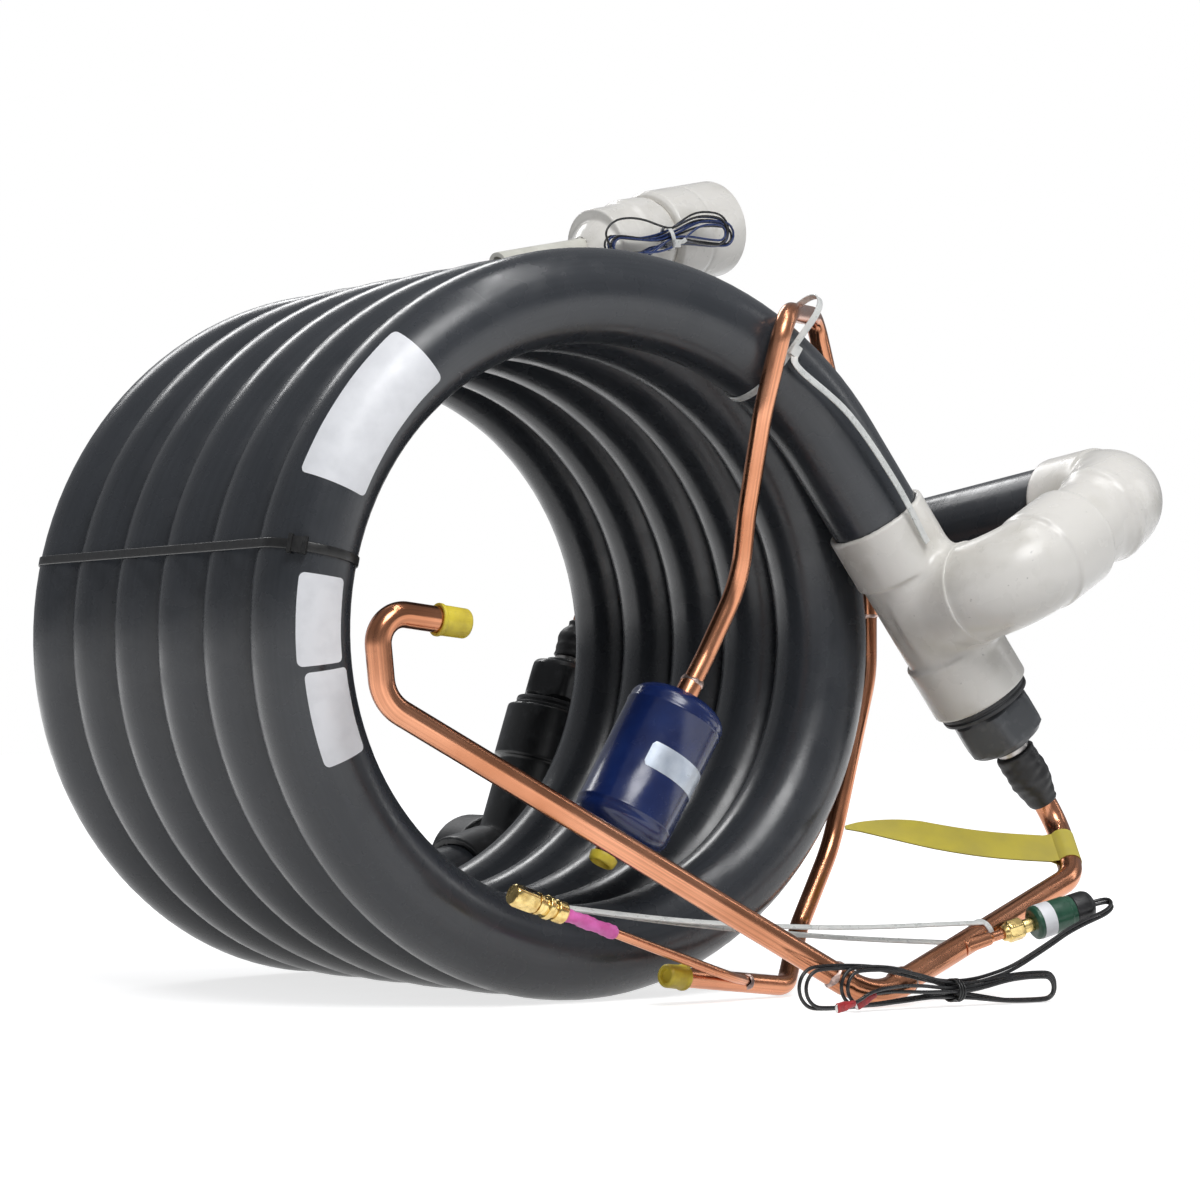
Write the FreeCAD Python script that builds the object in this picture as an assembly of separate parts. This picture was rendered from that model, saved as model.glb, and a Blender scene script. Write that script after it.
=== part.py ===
import FreeCAD, Part
import math
import os

# Titanium heat exchanger: a titanium tube runs inside a coiled plastic hose. Water fills the hose
# and refrigerant fills the titanium tube. The coil lies on its side and its axis is Y.
# Sizes are in millimetres and angles in degrees. The model is drawn round the coil's centre, with
# the front at -Y, and moved at the end so that the origin is under the middle of the rigid parts.

V = FreeCAD.Vector

# Hose and coil
HOSE_OD = 60.3
HOSE_WALL = 4.0
COIL_RADIUS = 207.0
TURN_GAP = 0.7
COIL_PITCH = HOSE_OD + TURN_GAP
ARCS_PER_TURN = 8
COIL_ARCS = 44
COIL_START = 58.3
HOSE_LENGTHS = 6

# The two straight ends of the coil
FRONT_ANGLE = 57.1
FRONT_RISE = 19.0
FRONT_DROP = 54.6
FRONT_DRIFT = 0.058
FRONT_SETBACK = 1.5
REAR_REACH = 31.0
REAR_RISE = 13.25
REAR_DRIFT = 0.217
REAR_INSET = 60.04
REAR_CLIMB = 71.1
REAR_BEND = 80.0

# Titanium tube and the sleeves over its joints, measured from the seats of the bushings
TI_OD = 22.2
TI_WALL = 1.2
FRONT_TI_REACH = 67.4
REAR_TI_REACH = 60.0
FRONT_SLEEVE_REACH = 46.4
REAR_SLEEVE_REACH = 45.0
SLEEVE_WALL = 1.4
FRONT_SLEEVE_LENGTH = 42.0
REAR_SLEEVE_LENGTH = 29.0

# Plastic fittings
HUB_OD = 68.0
BODY_OD = 63.0
SOCKET_DEPTH = 36.0
HUB_CHAMFER = 1.5
FITTING_WALL = 4.5
FIT = 0.1
ELBOW_LEG = 66.0
ELBOW_BEND = 36.0

# Front tee: distances along the front end, from the first corner of the coil
TEE_MOUTH = 142.6
TEE_LENGTH = 142.0
BRANCH_REACH = 44.0
BRANCH_DEPTH = 16.0
BRANCH_RUN = 76.0
OUTLET_RUN = 140.0
RETURN_RUN = 487.0
RETURN_BEND = 177.0
TOP_RUN = 280.0

# Coupling and sensor port at the top
COUPLING_OD = 75.0
COUPLING_START = 60.0
COUPLING_LENGTH = 72.0
COUPLING_DEPTH = 34.0
SENSOR_OD = 19.0
SENSOR_HOLE = 12.0
PORT_REACH = 105.0

# Side outlet elbow at the rear
REAR_HUB_OD = 72.0
REAR_DEPTH = 31.0
SOCKET_LEG = 58.0
REAR_SEAT = 116.0
PORT_LEG = 62.0

# Bushings and glands
BUSHING_OD = 63.0
BUSHING_FLANGE = 7.5
GLAND_THREAD_OD = 40.0
GLAND_HEIGHT = 30.0
GLAND_FLATS = 52.0
GLAND_COLLAR = 4.0
GLAND_COLLAR_OD = 36.0

# Copper tubes
HOT_OD = 15.9
COLD_OD = 12.7
CAPILLARY_OD = 6.35
COPPER_WALL = 1.0
BRAZE_WALL = 1.2
CUP_LENGTH = 12.0
DISCHARGE_BEND = 40.0
CAP_WALL = 1.5
LIQUID_GAP = 8.4
TEE_DRIFT = 60.0
TEE_ARM = 22.0

# Filter drier
DRIER_OD = 64.0
DRIER_LENGTH = 80.0
DRIER_SHOULDER = 12.0
DRIER_WALL = 1.2
DRIER_STUB = 12.0

# Pressure switch
SWITCH_PLACE = 136.0
SWITCH_STUB = 50.0
SWITCH_OD = 22.0
SWITCH_LENGTH = 29.0
SWITCH_BOOT = 15.0

# Tag, labels, strap and ties
TAG_WIDTH = 26.0
TAG_LENGTH = 150.0
TAG_THICKNESS = 0.5
LABEL_THICKNESS = 0.25
LABEL_GAP = 0.1
STRAP_ANGLE = 169.0
STRAP_WIDTH = 6.0
STRAP_THICKNESS = 1.0
STRAP_GAP = 0.2
BUCKLE_ANGLE = 50.0
BUCKLE_SIZE = 15.0
TIE_WIDTH = 4.6
TIE_THICKNESS = 1.2
LABELS = [
    ("label_large", 131.3, 157.8, 26.5, 112.0),
    ("label_upper", 172.6, 187.2, 56.0, 114.0),
    ("label_lower", 188.2, 203.6, 63.0, 121.0),
]

# Electrical leads
LEAD_BUNDLE_OD = 5.0
SENSOR_BUNDLE_OD = 3.2
HANK_DEPTH = 14.0

HOSE_R = HOSE_OD / 2
HUB_R = HUB_OD / 2
BODY_R = BODY_OD / 2
BORE_R = HOSE_R - FITTING_WALL
TI_R = TI_OD / 2
SOCKET_R = HOSE_R + FIT
COUPLING_R = COUPLING_OD / 2
SENSOR_R = SENSOR_OD / 2
SENSOR_BORE = SENSOR_HOLE / 2
REAR_HUB_R = REAR_HUB_OD / 2
BUSHING_R = BUSHING_OD / 2
GLAND_THREAD_R = GLAND_THREAD_OD / 2
GLAND_COLLAR_R = GLAND_COLLAR_OD / 2
DRIER_R = DRIER_OD / 2
SWITCH_R = SWITCH_OD / 2
FLOOR = -(COIL_RADIUS + HOSE_R)
TEE_MIDDLE = TEE_MOUTH + TEE_LENGTH / 2
TEE_END = TEE_MOUTH + TEE_LENGTH
TI_FRONT_END = TEE_END + FRONT_TI_REACH
TI_REAR_END = REAR_SEAT + REAR_TI_REACH
FRONT_SLEEVE = TEE_END + FRONT_SLEEVE_REACH
REAR_SLEEVE = REAR_SEAT + REAR_SLEEVE_REACH

nodes = {}
loose = ["switch_leads", "switch_lead_hank", "lead_tie", "spade_terminals",
         "sensor_lead", "sensor_lead_hank", "sensor_tie"]


def unit(vector):
    return V(vector).normalize()


def heading(azimuth, elevation):
    flat = math.cos(math.radians(elevation))
    return V(
        flat * math.cos(math.radians(azimuth)),
        flat * math.sin(math.radians(azimuth)),
        math.sin(math.radians(elevation)),
    )


def arc_reach(points, index, radius):
    before = unit(points[index] - points[index - 1])
    after = unit(points[index + 1] - points[index])
    return radius * math.tan(before.getAngle(after) / 2)


def path(points, reaches):
    """Straight runs joined by tangent arcs; a reach is how far an arc starts from its corner."""
    edges = []
    here = points[0]
    for index in range(1, len(points) - 1):
        corner = points[index]
        reach = reaches[index - 1]
        to_last = unit(points[index - 1] - corner)
        to_next = unit(points[index + 1] - corner)
        start = corner + to_last * reach
        end = corner + to_next * reach
        half = to_last.getAngle(to_next) / 2
        inward = unit(to_last + to_next)
        middle = corner + inward * (reach / math.cos(half) - reach * math.tan(half))
        if here.distanceToPoint(start) > 0.01:
            edges.append(Part.LineSegment(here, start).toShape())
        edges.append(Part.Arc(start, middle, end).toShape())
        here = end
    if here.distanceToPoint(points[-1]) > 0.01:
        edges.append(Part.LineSegment(here, points[-1]).toShape())
    return edges


def rod(edges, radius):
    first = edges[0]
    start = first.valueAt(first.FirstParameter)
    along = first.tangentAt(first.FirstParameter)
    section = Part.Wire(Part.makeCircle(radius, start, along))
    return Part.Wire(edges).makePipeShell([section], True, False)


def pipe(points, reaches, radius, wall):
    edges = path(points, reaches)
    return rod(edges, radius).cut(rod(edges, radius - wall))


def by_radius(points, radii):
    return [arc_reach(points, index + 1, radius) for index, radius in enumerate(radii)]


def turned(origin, along, outline):
    """A solid of revolution from pairs of distance along the axis and radius."""
    along = unit(along)
    side = unit(along.cross(V(0.31, 0.47, 0.83)))
    corners = [origin + along * step + side * radius for step, radius in outline]
    face = Part.Face(Part.makePolygon(corners + [corners[0]]))
    return face.revolve(origin, along, 360)


def cylinder(origin, along, length, radius):
    return Part.makeCylinder(radius, length, origin, along)


def ring(origin, along, length, outer, inner):
    return turned(origin, along, [(0, inner), (0, outer), (length, outer), (length, inner)])


def hub(origin, along, length, radius):
    """The thicker end of a moulded fitting, with an eased rim."""
    c = HUB_CHAMFER
    outline = [(0, 0), (0, radius - c), (c, radius), (length - c, radius), (length, radius - c), (length, 0)]
    return turned(origin, along, outline)


def hexagon(origin, along, length, flats, bore):
    """A hexagonal nut with its corners turned off at both ends."""
    corner = flats / math.sqrt(3)
    ease = corner - flats / 2
    along = unit(along)
    side = unit(along.cross(V(0, 1, 0)))
    points = []
    for index in range(7):
        spin = FreeCAD.Rotation(along, 60 * index)
        points.append(origin + spin.multVec(side * corner))
    prism = Part.Face(Part.makePolygon(points)).extrude(along * length)
    outline = [(0, 0), (0, corner - ease), (ease, corner), (length - ease, corner), (length, corner - ease)]
    blank = turned(origin, along, outline + [(length, 0)])
    solid = prism.common(blank)
    if bore:
        solid = solid.cut(cylinder(origin - along, along, length + 2, bore))
    return solid


def elbow(corner, inlet, outlet, inlet_leg, outlet_leg, inlet_hub, outlet_hub):
    """A pipe elbow. inlet and outlet point away from the corner; a leg with no hub is a spigot."""
    ends = [corner + inlet * inlet_leg, corner, corner + outlet * outlet_leg]
    reach = ELBOW_BEND * math.tan((math.pi - inlet.getAngle(outlet)) / 2)
    edges = path(ends, [reach])
    outer = rod(edges, HOSE_R if not (inlet_hub and outlet_hub) else BODY_R)
    cuts = [rod(path(ends, [reach]), BORE_R)]
    for direction, leg, has_hub in ((inlet, inlet_leg, inlet_hub), (outlet, outlet_leg, outlet_hub)):
        if has_hub:
            length = SOCKET_DEPTH + 4
            outer = outer.fuse(hub(corner + direction * (leg - length), direction, length, HUB_R))
            cuts.append(cylinder(corner + direction * (leg - SOCKET_DEPTH), direction, SOCKET_DEPTH, SOCKET_R))
    for cut in cuts:
        outer = outer.cut(cut)
    return outer.removeSplitter()


def coil_corner(index):
    """A corner of the polygon whose tangent arcs make the coil."""
    angle = math.radians(COIL_START + 360 / ARCS_PER_TURN * index)
    radius = COIL_RADIUS / math.cos(math.pi / ARCS_PER_TURN)
    rise = COIL_PITCH * angle / (2 * math.pi)
    return V(radius * math.cos(angle), rise, radius * math.sin(angle))


def square_to(line, rough):
    """The direction nearest to rough that is square to line."""
    return unit(rough - line * rough.dot(line))


def stretch(edges, start, end):
    """The part of a run of edges that lies between two lengths along it."""
    parts = []
    passed = 0.0
    for edge in edges:
        low = max(start - passed, 0.0)
        high = min(end - passed, edge.Length)
        if high - low > 0.01:
            first = edge.getParameterByLength(low)
            last = edge.getParameterByLength(high)
            parts.append(edge.Curve.toShape(first, last))
        passed += edge.Length
    return parts


def place_on(edges, distance):
    """The point and the direction at a length along a run of edges."""
    passed = 0.0
    for edge in edges:
        if distance <= passed + edge.Length:
            at = edge.getParameterByLength(distance - passed)
            return edge.valueAt(at), unit(edge.tangentAt(at))
        passed += edge.Length
    last = edges[-1]
    return last.valueAt(last.LastParameter), unit(last.tangentAt(last.LastParameter))


def around(angle, drift, radius):
    """A point at an angle round the coil's axis, at a height radius from it."""
    turn = math.radians(angle)
    return V(radius * math.cos(turn), drift, radius * math.sin(turn))


def beside(angle, drift, gap):
    return around(angle, drift, COIL_RADIUS + HOSE_R + gap)


def within(angle, drift, gap):
    return around(angle, drift, COIL_RADIUS - HOSE_R - gap)


def below(angle, drift, lift):
    """A point over the floor, on the line from the coil's axis that meets the floor at an angle."""
    return V(FLOOR / math.tan(math.radians(angle)), drift, FLOOR + lift)


def strip(corners, thickness_line, thickness):
    """A flat strip with the given outline, thickened along one line."""
    face = Part.Face(Part.makePolygon(corners + [corners[0]]))
    return face.extrude(thickness_line * thickness)


def belt(centre, along, first, second, width, inner, outer):
    """A flat tie drawn round two rods. first and second are (across, up, radius) from the centre."""
    side = unit(along.cross(V(0, 1, 0)))
    front = unit(side.cross(along))

    def outline(extra):
        """The outside of both circles and the two straight lines that touch them."""
        (x1, y1, r1), (x2, y2, r2) = first, second
        r1 += extra
        r2 += extra
        span = math.hypot(x2 - x1, y2 - y1)
        lean = math.atan2(y2 - y1, x2 - x1)
        tilt = math.acos((r1 - r2) / span)

        def spot(x, y, r, angle):
            return centre + side * (x + r * math.cos(angle)) + front * (y + r * math.sin(angle))

        a1 = spot(x1, y1, r1, lean + tilt)
        a2 = spot(x2, y2, r2, lean + tilt)
        b1 = spot(x1, y1, r1, lean - tilt)
        b2 = spot(x2, y2, r2, lean - tilt)
        far1 = spot(x1, y1, r1, lean + math.pi)
        far2 = spot(x2, y2, r2, lean)
        wire = Part.Wire([
            Part.Arc(a1, far1, b1).toShape(),
            Part.LineSegment(b1, b2).toShape(),
            Part.Arc(b2, far2, a2).toShape(),
            Part.LineSegment(a2, a1).toShape(),
        ])
        return Part.Face(wire)

    solid = outline(outer).cut(outline(inner)).extrude(along * width)
    solid.translate(along * (-width / 2))
    return solid


def patch(edges, start, end, from_angle, to_angle, thickness):
    """A label on the hose: from_angle and to_angle turn from the outer side towards the front."""
    here, along = place_on(edges, start)
    out = unit(V(here.x, 0, here.z) - along * V(here.x, 0, here.z).dot(along))
    front = unit(out.cross(along))
    if front.y > 0:
        front = front * -1

    def spot(angle, radius):
        turn = math.radians(angle)
        return here + out * (radius * math.cos(turn)) + front * (radius * math.sin(turn))

    middle = (from_angle + to_angle) / 2
    low = HOSE_R + LABEL_GAP
    high = low + thickness
    wire = Part.Wire([
        Part.Arc(spot(from_angle, low), spot(middle, low), spot(to_angle, low)).toShape(),
        Part.LineSegment(spot(to_angle, low), spot(to_angle, high)).toShape(),
        Part.Arc(spot(to_angle, high), spot(middle, high), spot(from_angle, high)).toShape(),
        Part.LineSegment(spot(from_angle, high), spot(from_angle, low)).toShape(),
    ])
    return Part.Wire(stretch(edges, start, end)).makePipeShell([wire], True, False)


# Main lines of the assembly
HALF_EDGE = (coil_corner(1) - coil_corner(0)).Length / 2
FRONT_CORNER = around(FRONT_ANGLE, coil_corner(0).y - FRONT_SETBACK, COIL_RADIUS + FRONT_RISE)
FRONT_LINE = unit(
    V(math.cos(math.radians(FRONT_DROP)), -FRONT_DRIFT, -math.sin(math.radians(FRONT_DROP)))
)
LAST_CORNER = coil_corner(COIL_ARCS) + unit(V(115.1, 12.6, -18.6)) * (HALF_EDGE + REAR_REACH + 0.5)
REAR_LINE = unit(V(math.cos(math.radians(REAR_RISE)), REAR_DRIFT, math.sin(math.radians(REAR_RISE))))
REAR_CORNER = LAST_CORNER + REAR_LINE * ((COIL_RADIUS + HOSE_R - REAR_INSET - LAST_CORNER.x) / REAR_LINE.x)
REAR_UP = heading(3.5, REAR_CLIMB)


def on_front(distance):
    return FRONT_CORNER + FRONT_LINE * distance


def on_rear(distance):
    return REAR_CORNER + REAR_UP * distance


TEE_CENTRE = on_front(TEE_MIDDLE)
BRANCH_LINE = square_to(FRONT_LINE, V(0.19, -0.96, 0.21))
BRANCH_CORNER = TEE_CENTRE + BRANCH_LINE * BRANCH_RUN
OUTLET_LINE = heading(11.3, 27.1)
OUTLET_CORNER = BRANCH_CORNER + OUTLET_LINE * OUTLET_RUN
RETURN_LINE = heading(98.1, -8.4)
RETURN_CORNER = OUTLET_CORNER + RETURN_LINE * RETURN_RUN
TOP_LINE = heading(180, 79.8)
TOP_CORNER = RETURN_CORNER + TOP_LINE * TOP_RUN
PORT_LINE = heading(11.6, 12.0)
LIQUID_CORNER = on_rear((COIL_RADIUS + HOSE_R + LIQUID_GAP - REAR_CORNER.x) / REAR_UP.x)
LIQUID_TEE = V(LIQUID_CORNER.x, TEE_DRIFT, LIQUID_CORNER.z)
DRIER_LINE = unit(V(0.522, 0, 0.853))
DRIER_CENTRE = within(-66.4, 20, 78)
SWITCH_LINE = unit(V(0.94, -0.21, 0.27))


def coil_path(start, end):
    points = [start, FRONT_CORNER]
    points += [coil_corner(index) for index in range(1, COIL_ARCS + 1)]
    points += [LAST_CORNER]
    reaches = [HALF_EDGE] * (COIL_ARCS + 1) + [REAR_REACH]
    if end is not None:
        points += [REAR_CORNER, end]
        reaches += [arc_reach([LAST_CORNER, REAR_CORNER, end], 1, REAR_BEND)]
    else:
        points += [REAR_CORNER - REAR_LINE * (SOCKET_LEG - REAR_DEPTH + FIT)]
    return path(points, reaches)


def outer_hose():
    """The hose, in lengths of one turn that meet face to face; each end's run is with its turn."""
    edges = coil_path(on_front(TEE_MOUTH + SOCKET_DEPTH - FIT), None)
    ends = [0] + [1 + ARCS_PER_TURN * turn for turn in range(1, HOSE_LENGTHS)] + [len(edges)]
    for index in range(HOSE_LENGTHS):
        part = edges[ends[index]:ends[index + 1]]
        nodes["outer_hose_" + str(index + 1)] = rod(part, HOSE_R).cut(rod(part, HOSE_R - HOSE_WALL))
    return edges


def titanium_tube():
    edges = coil_path(on_front(TI_FRONT_END), on_rear(TI_REAR_END))
    nodes["titanium_tube"] = rod(edges, TI_R).cut(rod(edges, TI_R - TI_WALL))


def front_tee():
    top = TEE_MOUTH
    body = cylinder(on_front(top + 2), FRONT_LINE, TEE_LENGTH - 4, BODY_R)
    body = body.fuse(hub(on_front(top), FRONT_LINE, SOCKET_DEPTH + 2, HUB_R))
    body = body.fuse(hub(on_front(TEE_END - SOCKET_DEPTH - 2), FRONT_LINE, SOCKET_DEPTH + 2, HUB_R))
    body = body.fuse(hub(TEE_CENTRE, BRANCH_LINE, BRANCH_REACH, HUB_R))
    body = body.cut(cylinder(on_front(top - 1), FRONT_LINE, SOCKET_DEPTH + 1, SOCKET_R))
    body = body.cut(cylinder(on_front(TEE_END - SOCKET_DEPTH), FRONT_LINE, SOCKET_DEPTH + 1, SOCKET_R))
    body = body.cut(cylinder(on_front(top), FRONT_LINE, TEE_LENGTH, BORE_R))
    body = body.cut(cylinder(TEE_CENTRE, BRANCH_LINE, BRANCH_REACH, BORE_R))
    mouth = TEE_CENTRE + BRANCH_LINE * (BRANCH_REACH - BRANCH_DEPTH)
    body = body.cut(cylinder(mouth, BRANCH_LINE, BRANCH_DEPTH + 1, SOCKET_R))
    nodes["front_tee"] = body


def gland_set(name, seat, along):
    """A bushing in a socket and the gland body that seals it on the titanium tube."""
    spigot = SOCKET_DEPTH - FIT
    bushing = turned(seat - along * spigot, along, [
        (0, GLAND_THREAD_R + FIT), (0, HOSE_R - 1), (1, HOSE_R), (spigot, HOSE_R),
        (spigot, BUSHING_R), (spigot + BUSHING_FLANGE, BUSHING_R),
        (spigot + BUSHING_FLANGE, GLAND_THREAD_R + FIT),
    ])
    nodes[name + "_bushing"] = bushing
    face = seat + along * BUSHING_FLANGE
    thread = SOCKET_DEPTH + BUSHING_FLANGE - 4
    gland = hexagon(face, along, GLAND_HEIGHT, GLAND_FLATS, 0)
    gland = gland.fuse(cylinder(face - along * thread, along, thread + 1, GLAND_THREAD_R))
    gland = gland.fuse(hub(face + along * (GLAND_HEIGHT - 1), along, GLAND_COLLAR + 1, GLAND_COLLAR_R))
    bore = cylinder(face - along * (thread + 1), along, thread + GLAND_HEIGHT + GLAND_COLLAR + 2, TI_R + FIT)
    nodes[name + "_gland"] = gland.cut(bore)


def joint_sleeve(name, start, along, tube_end, tube_r, length):
    """The sealed joint between the titanium tube and a copper tube."""
    inner = TI_R + FIT
    narrow = tube_r + FIT
    nodes[name] = turned(start, along, [
        (0, inner), (0, inner + SLEEVE_WALL), (tube_end + 3, inner + SLEEVE_WALL),
        (length - 4, narrow + SLEEVE_WALL), (length, narrow + SLEEVE_WALL),
        (length, narrow), (tube_end + FIT, narrow), (tube_end + FIT, inner),
    ])


def arc_low(points, radius):
    """How far above the corner, measured upwards, the lowest point of a rounded corner lies."""
    to_last = unit(points[0] - points[1])
    to_next = unit(points[2] - points[1])
    half = to_last.getAngle(to_next) / 2
    centre = unit(to_last + to_next) * (radius / math.sin(half))
    normal = unit(to_last.cross(to_next))
    return centre.z - radius * math.sqrt(1 - normal.z ** 2)


def discharge_tubes():
    """The hot gas line: down from the front gland, a turn on the floor, then up to its capped end."""
    r = HOT_OD / 2
    start = on_front(TI_FRONT_END + 2 * FIT)
    knee = on_front(FRONT_SLEEVE + FRONT_SLEEVE_LENGTH + 15)
    bend = beside(-26.215, -54, 129.57)
    far_corner = within(194.744, -40, -19.62)
    turn = below(-62.018, -102, 0)
    for step in range(4):
        turn.z = FLOOR + r + BRAZE_WALL - arc_low([bend, turn, far_corner], DISCHARGE_BEND)
    down = unit(turn - bend)
    up = unit(far_corner - turn)
    reach = arc_reach([bend, turn, far_corner], 1, DISCHARGE_BEND)
    stop_down = turn - down * (reach + FIT)
    stop_up = turn + up * (reach + FIT)
    lower = [start, knee, bend, stop_down]
    nodes["discharge_tube_lower"] = pipe(lower, by_radius(lower, [24, 30]), r, COPPER_WALL)
    upper = [stop_up, far_corner, within(178.83, -40, -19.19), within(180.807, -40, 34.84)]
    nodes["discharge_tube_upper"] = pipe(upper, by_radius(upper, [26, 17]), r, COPPER_WALL)
    arm = reach + CUP_LENGTH
    cup = rod(path([turn - down * arm, turn, turn + up * arm], [reach]), r + BRAZE_WALL)
    inner = arm + 1
    cup = cup.cut(rod(path([turn - down * inner, turn, turn + up * inner], [reach]), r - COPPER_WALL))
    cup = cup.cut(cylinder(turn - down * (reach + FIT), down * -1, CUP_LENGTH + 1, r + FIT))
    cup = cup.cut(cylinder(turn + up * (reach + FIT), up, CUP_LENGTH + 1, r + FIT))
    nodes["discharge_elbow"] = cup
    nodes["discharge_cap"] = end_cap(upper, r, 12, 9)
    return lower, upper


def end_cap(points, radius, over, beyond):
    """A push-on cap over the open end of a tube."""
    tip = points[-1]
    line = unit(points[-1] - points[-2])
    inner = radius + FIT
    outer = inner + CAP_WALL
    length = over + beyond
    return turned(tip - line * over, line, [
        (0, inner), (0, outer), (length - 1, outer), (length, outer - 1), (length, 0),
        (over + FIT, 0), (over + FIT, inner),
    ])


def hang_tag(lower):
    """A tag folded round the hot gas tube below its joint, hanging out to the left."""
    along = unit(lower[2] - lower[1])
    middle = lower[1] + along * 32
    inner = HOT_OD / 2 + FIT
    half = along * (TAG_WIDTH / 2)
    wrap = ring(middle - half, along, TAG_WIDTH, inner + TAG_THICKNESS, inner)
    left = square_to(along, V(-1, 0, -0.1))
    front = unit(left.cross(along))
    start = middle + left * (inner + TAG_THICKNESS / 2)
    end = start + left * TAG_LENGTH
    corners = [start - half, end - half, end + left * 6, end + half, start + half]
    nodes["hang_tag"] = wrap.fuse(strip(corners, front, TAG_THICKNESS))


def pressure_switch(lower):
    """A pressure switch on a flared stub that is brazed into the hot gas tube."""
    line = unit(lower[3] - lower[2])
    root = lower[2] + line * SWITCH_PLACE
    aim = SWITCH_LINE
    r = CAPILLARY_OD / 2
    stub = cylinder(root, aim, SWITCH_STUB, r).fuse(cylinder(root, aim, 26, r + BRAZE_WALL))
    stub = stub.cut(cylinder(root - line * 60, line, 120, HOT_OD / 2))
    nodes["switch_stub"] = max(stub.Solids, key=lambda solid: solid.Volume)
    nut = root + aim * (SWITCH_STUB - 14)
    fitting = hexagon(nut, aim, 14, 13, 0).fuse(cylinder(nut, aim, 22, 4.6))
    nodes["switch_fitting"] = fitting.cut(cylinder(nut - aim, aim, 15 + FIT, r + FIT))
    base = nut + aim * 22
    body = turned(base, aim, [
        (0, 0), (0, SWITCH_R - 1), (1, SWITCH_R), (SWITCH_LENGTH, SWITCH_R), (SWITCH_LENGTH, 0),
    ])
    nodes["pressure_switch"] = body
    nodes["switch_band"] = ring(base + aim * 4, aim, 8, SWITCH_R + LABEL_THICKNESS, SWITCH_R)
    top = base + aim * SWITCH_LENGTH
    boot = SWITCH_R - 0.5
    nodes["switch_boot"] = turned(top, aim, [
        (0, 0), (0, boot), (SWITCH_BOOT - 5, boot), (SWITCH_BOOT, boot - 4), (SWITCH_BOOT, 0),
    ])
    return top + aim * SWITCH_BOOT, aim


def drier():
    """The filter drier: a spun shell round a core, a stub at each end and a plug in the lower one."""
    axis = DRIER_LINE
    middle = DRIER_CENTRE
    half = DRIER_LENGTH / 2
    tip = half + DRIER_SHOULDER
    cup = COLD_OD / 2 + BRAZE_WALL

    def shell(radius, shoulder):
        """A cylinder with a quarter ellipse turned down to the stub at each end."""
        curve = []
        for step in range(9):
            turn = math.radians(90 * step / 8)
            curve.append((half + shoulder * math.sin(turn), cup + (radius - cup) * math.cos(turn)))
        left = [(-x, y) for x, y in reversed(curve)]
        return turned(middle, axis, [(left[0][0], 0)] + left + curve + [(curve[-1][0], 0)])

    body = shell(DRIER_R, DRIER_SHOULDER).cut(shell(DRIER_R - DRIER_WALL, DRIER_SHOULDER - DRIER_WALL))
    nodes["drier_shell"] = body.cut(cylinder(middle - axis * (tip + 1), axis, 2 * tip + 2, cup))
    stubs = []
    for side in (-1, 1):
        line = axis * side
        length = DRIER_STUB + 5
        stubs.append(ring(middle + line * (tip - 5), line, length, cup, COLD_OD / 2 + FIT))
    nodes["drier_stubs"] = Part.makeCompound(stubs)
    core = DRIER_LENGTH - 6
    nodes["drier_core"] = cylinder(middle - axis * (core / 2), axis, core, DRIER_R - DRIER_WALL)
    end = middle - axis * (tip + DRIER_STUB)
    nodes["drier_plug"] = turned(end + axis * 10, axis * -1, [
        (0, 0), (0, COLD_OD / 2), (10, COLD_OD / 2), (10, cup + 1.4), (15, cup + 1.4), (16, cup + 0.4),
        (16, 0),
    ])
    nodes["drier_label"] = ring(middle - axis * 24, axis, 48, DRIER_R + LABEL_THICKNESS, DRIER_R)
    return middle + axis * (tip + DRIER_STUB - 12)


def liquid_lines(top_stub):
    """The liquid line: from the drier, over the coil, down its right side to a tee and a capped end."""
    r = COLD_OD / 2
    cup = r + BRAZE_WALL
    up = V(0, 0, 1)
    back = V(0, 1, 0)
    inset = TEE_ARM - CUP_LENGTH + FIT
    hook = [
        top_stub,
        top_stub + DRIER_LINE * 33,
        within(15.5, 16, 65),
        within(35, 0, 53),
        within(54, -22, 10),
        beside(61.6, -34, -10),
        beside(47, 54, 50),
        beside(33, TEE_DRIFT, 25),
        LIQUID_TEE + up * (TEE_ARM + 24),
        LIQUID_TEE + up * inset,
    ]
    radii = [50, 60, 60, 60, 22, 20, 50, 60]
    nodes["liquid_hook_tube"] = pipe(hook, by_radius(hook, radii), r, COPPER_WALL)
    arms = (up, up * -1, back)
    tee = cylinder(LIQUID_TEE - up * TEE_ARM, up, 2 * TEE_ARM, cup)
    tee = tee.fuse(cylinder(LIQUID_TEE, back, TEE_ARM, cup))
    tee = tee.cut(cylinder(LIQUID_TEE - up * TEE_ARM, up, 2 * TEE_ARM, r - COPPER_WALL))
    tee = tee.cut(cylinder(LIQUID_TEE, back, TEE_ARM, r - COPPER_WALL))
    for line in arms:
        tee = tee.cut(cylinder(LIQUID_TEE + line * (inset - FIT), line, CUP_LENGTH + 1, r + FIT))
    nodes["liquid_tee"] = tee
    rear = [on_rear(TI_REAR_END + 2 * FIT), LIQUID_CORNER, LIQUID_TEE + back * inset]
    nodes["liquid_return_tube"] = pipe(rear, by_radius(rear, [20]), r, COPPER_WALL)
    service = [
        LIQUID_TEE - up * inset,
        LIQUID_TEE - up * (TEE_ARM + 40),
        beside(-34, 58, 20),
        beside(-48.4, 40, 24),
        below(-60.715, 0, r + 0.3),
        below(-83.028, -20, r + 11.5),
    ]
    nodes["service_tube"] = pipe(service, by_radius(service, [90, 70, 30, 18]), r, COPPER_WALL)
    nodes["service_cap"] = end_cap(service, r, 12, 5)
    return service


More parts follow.
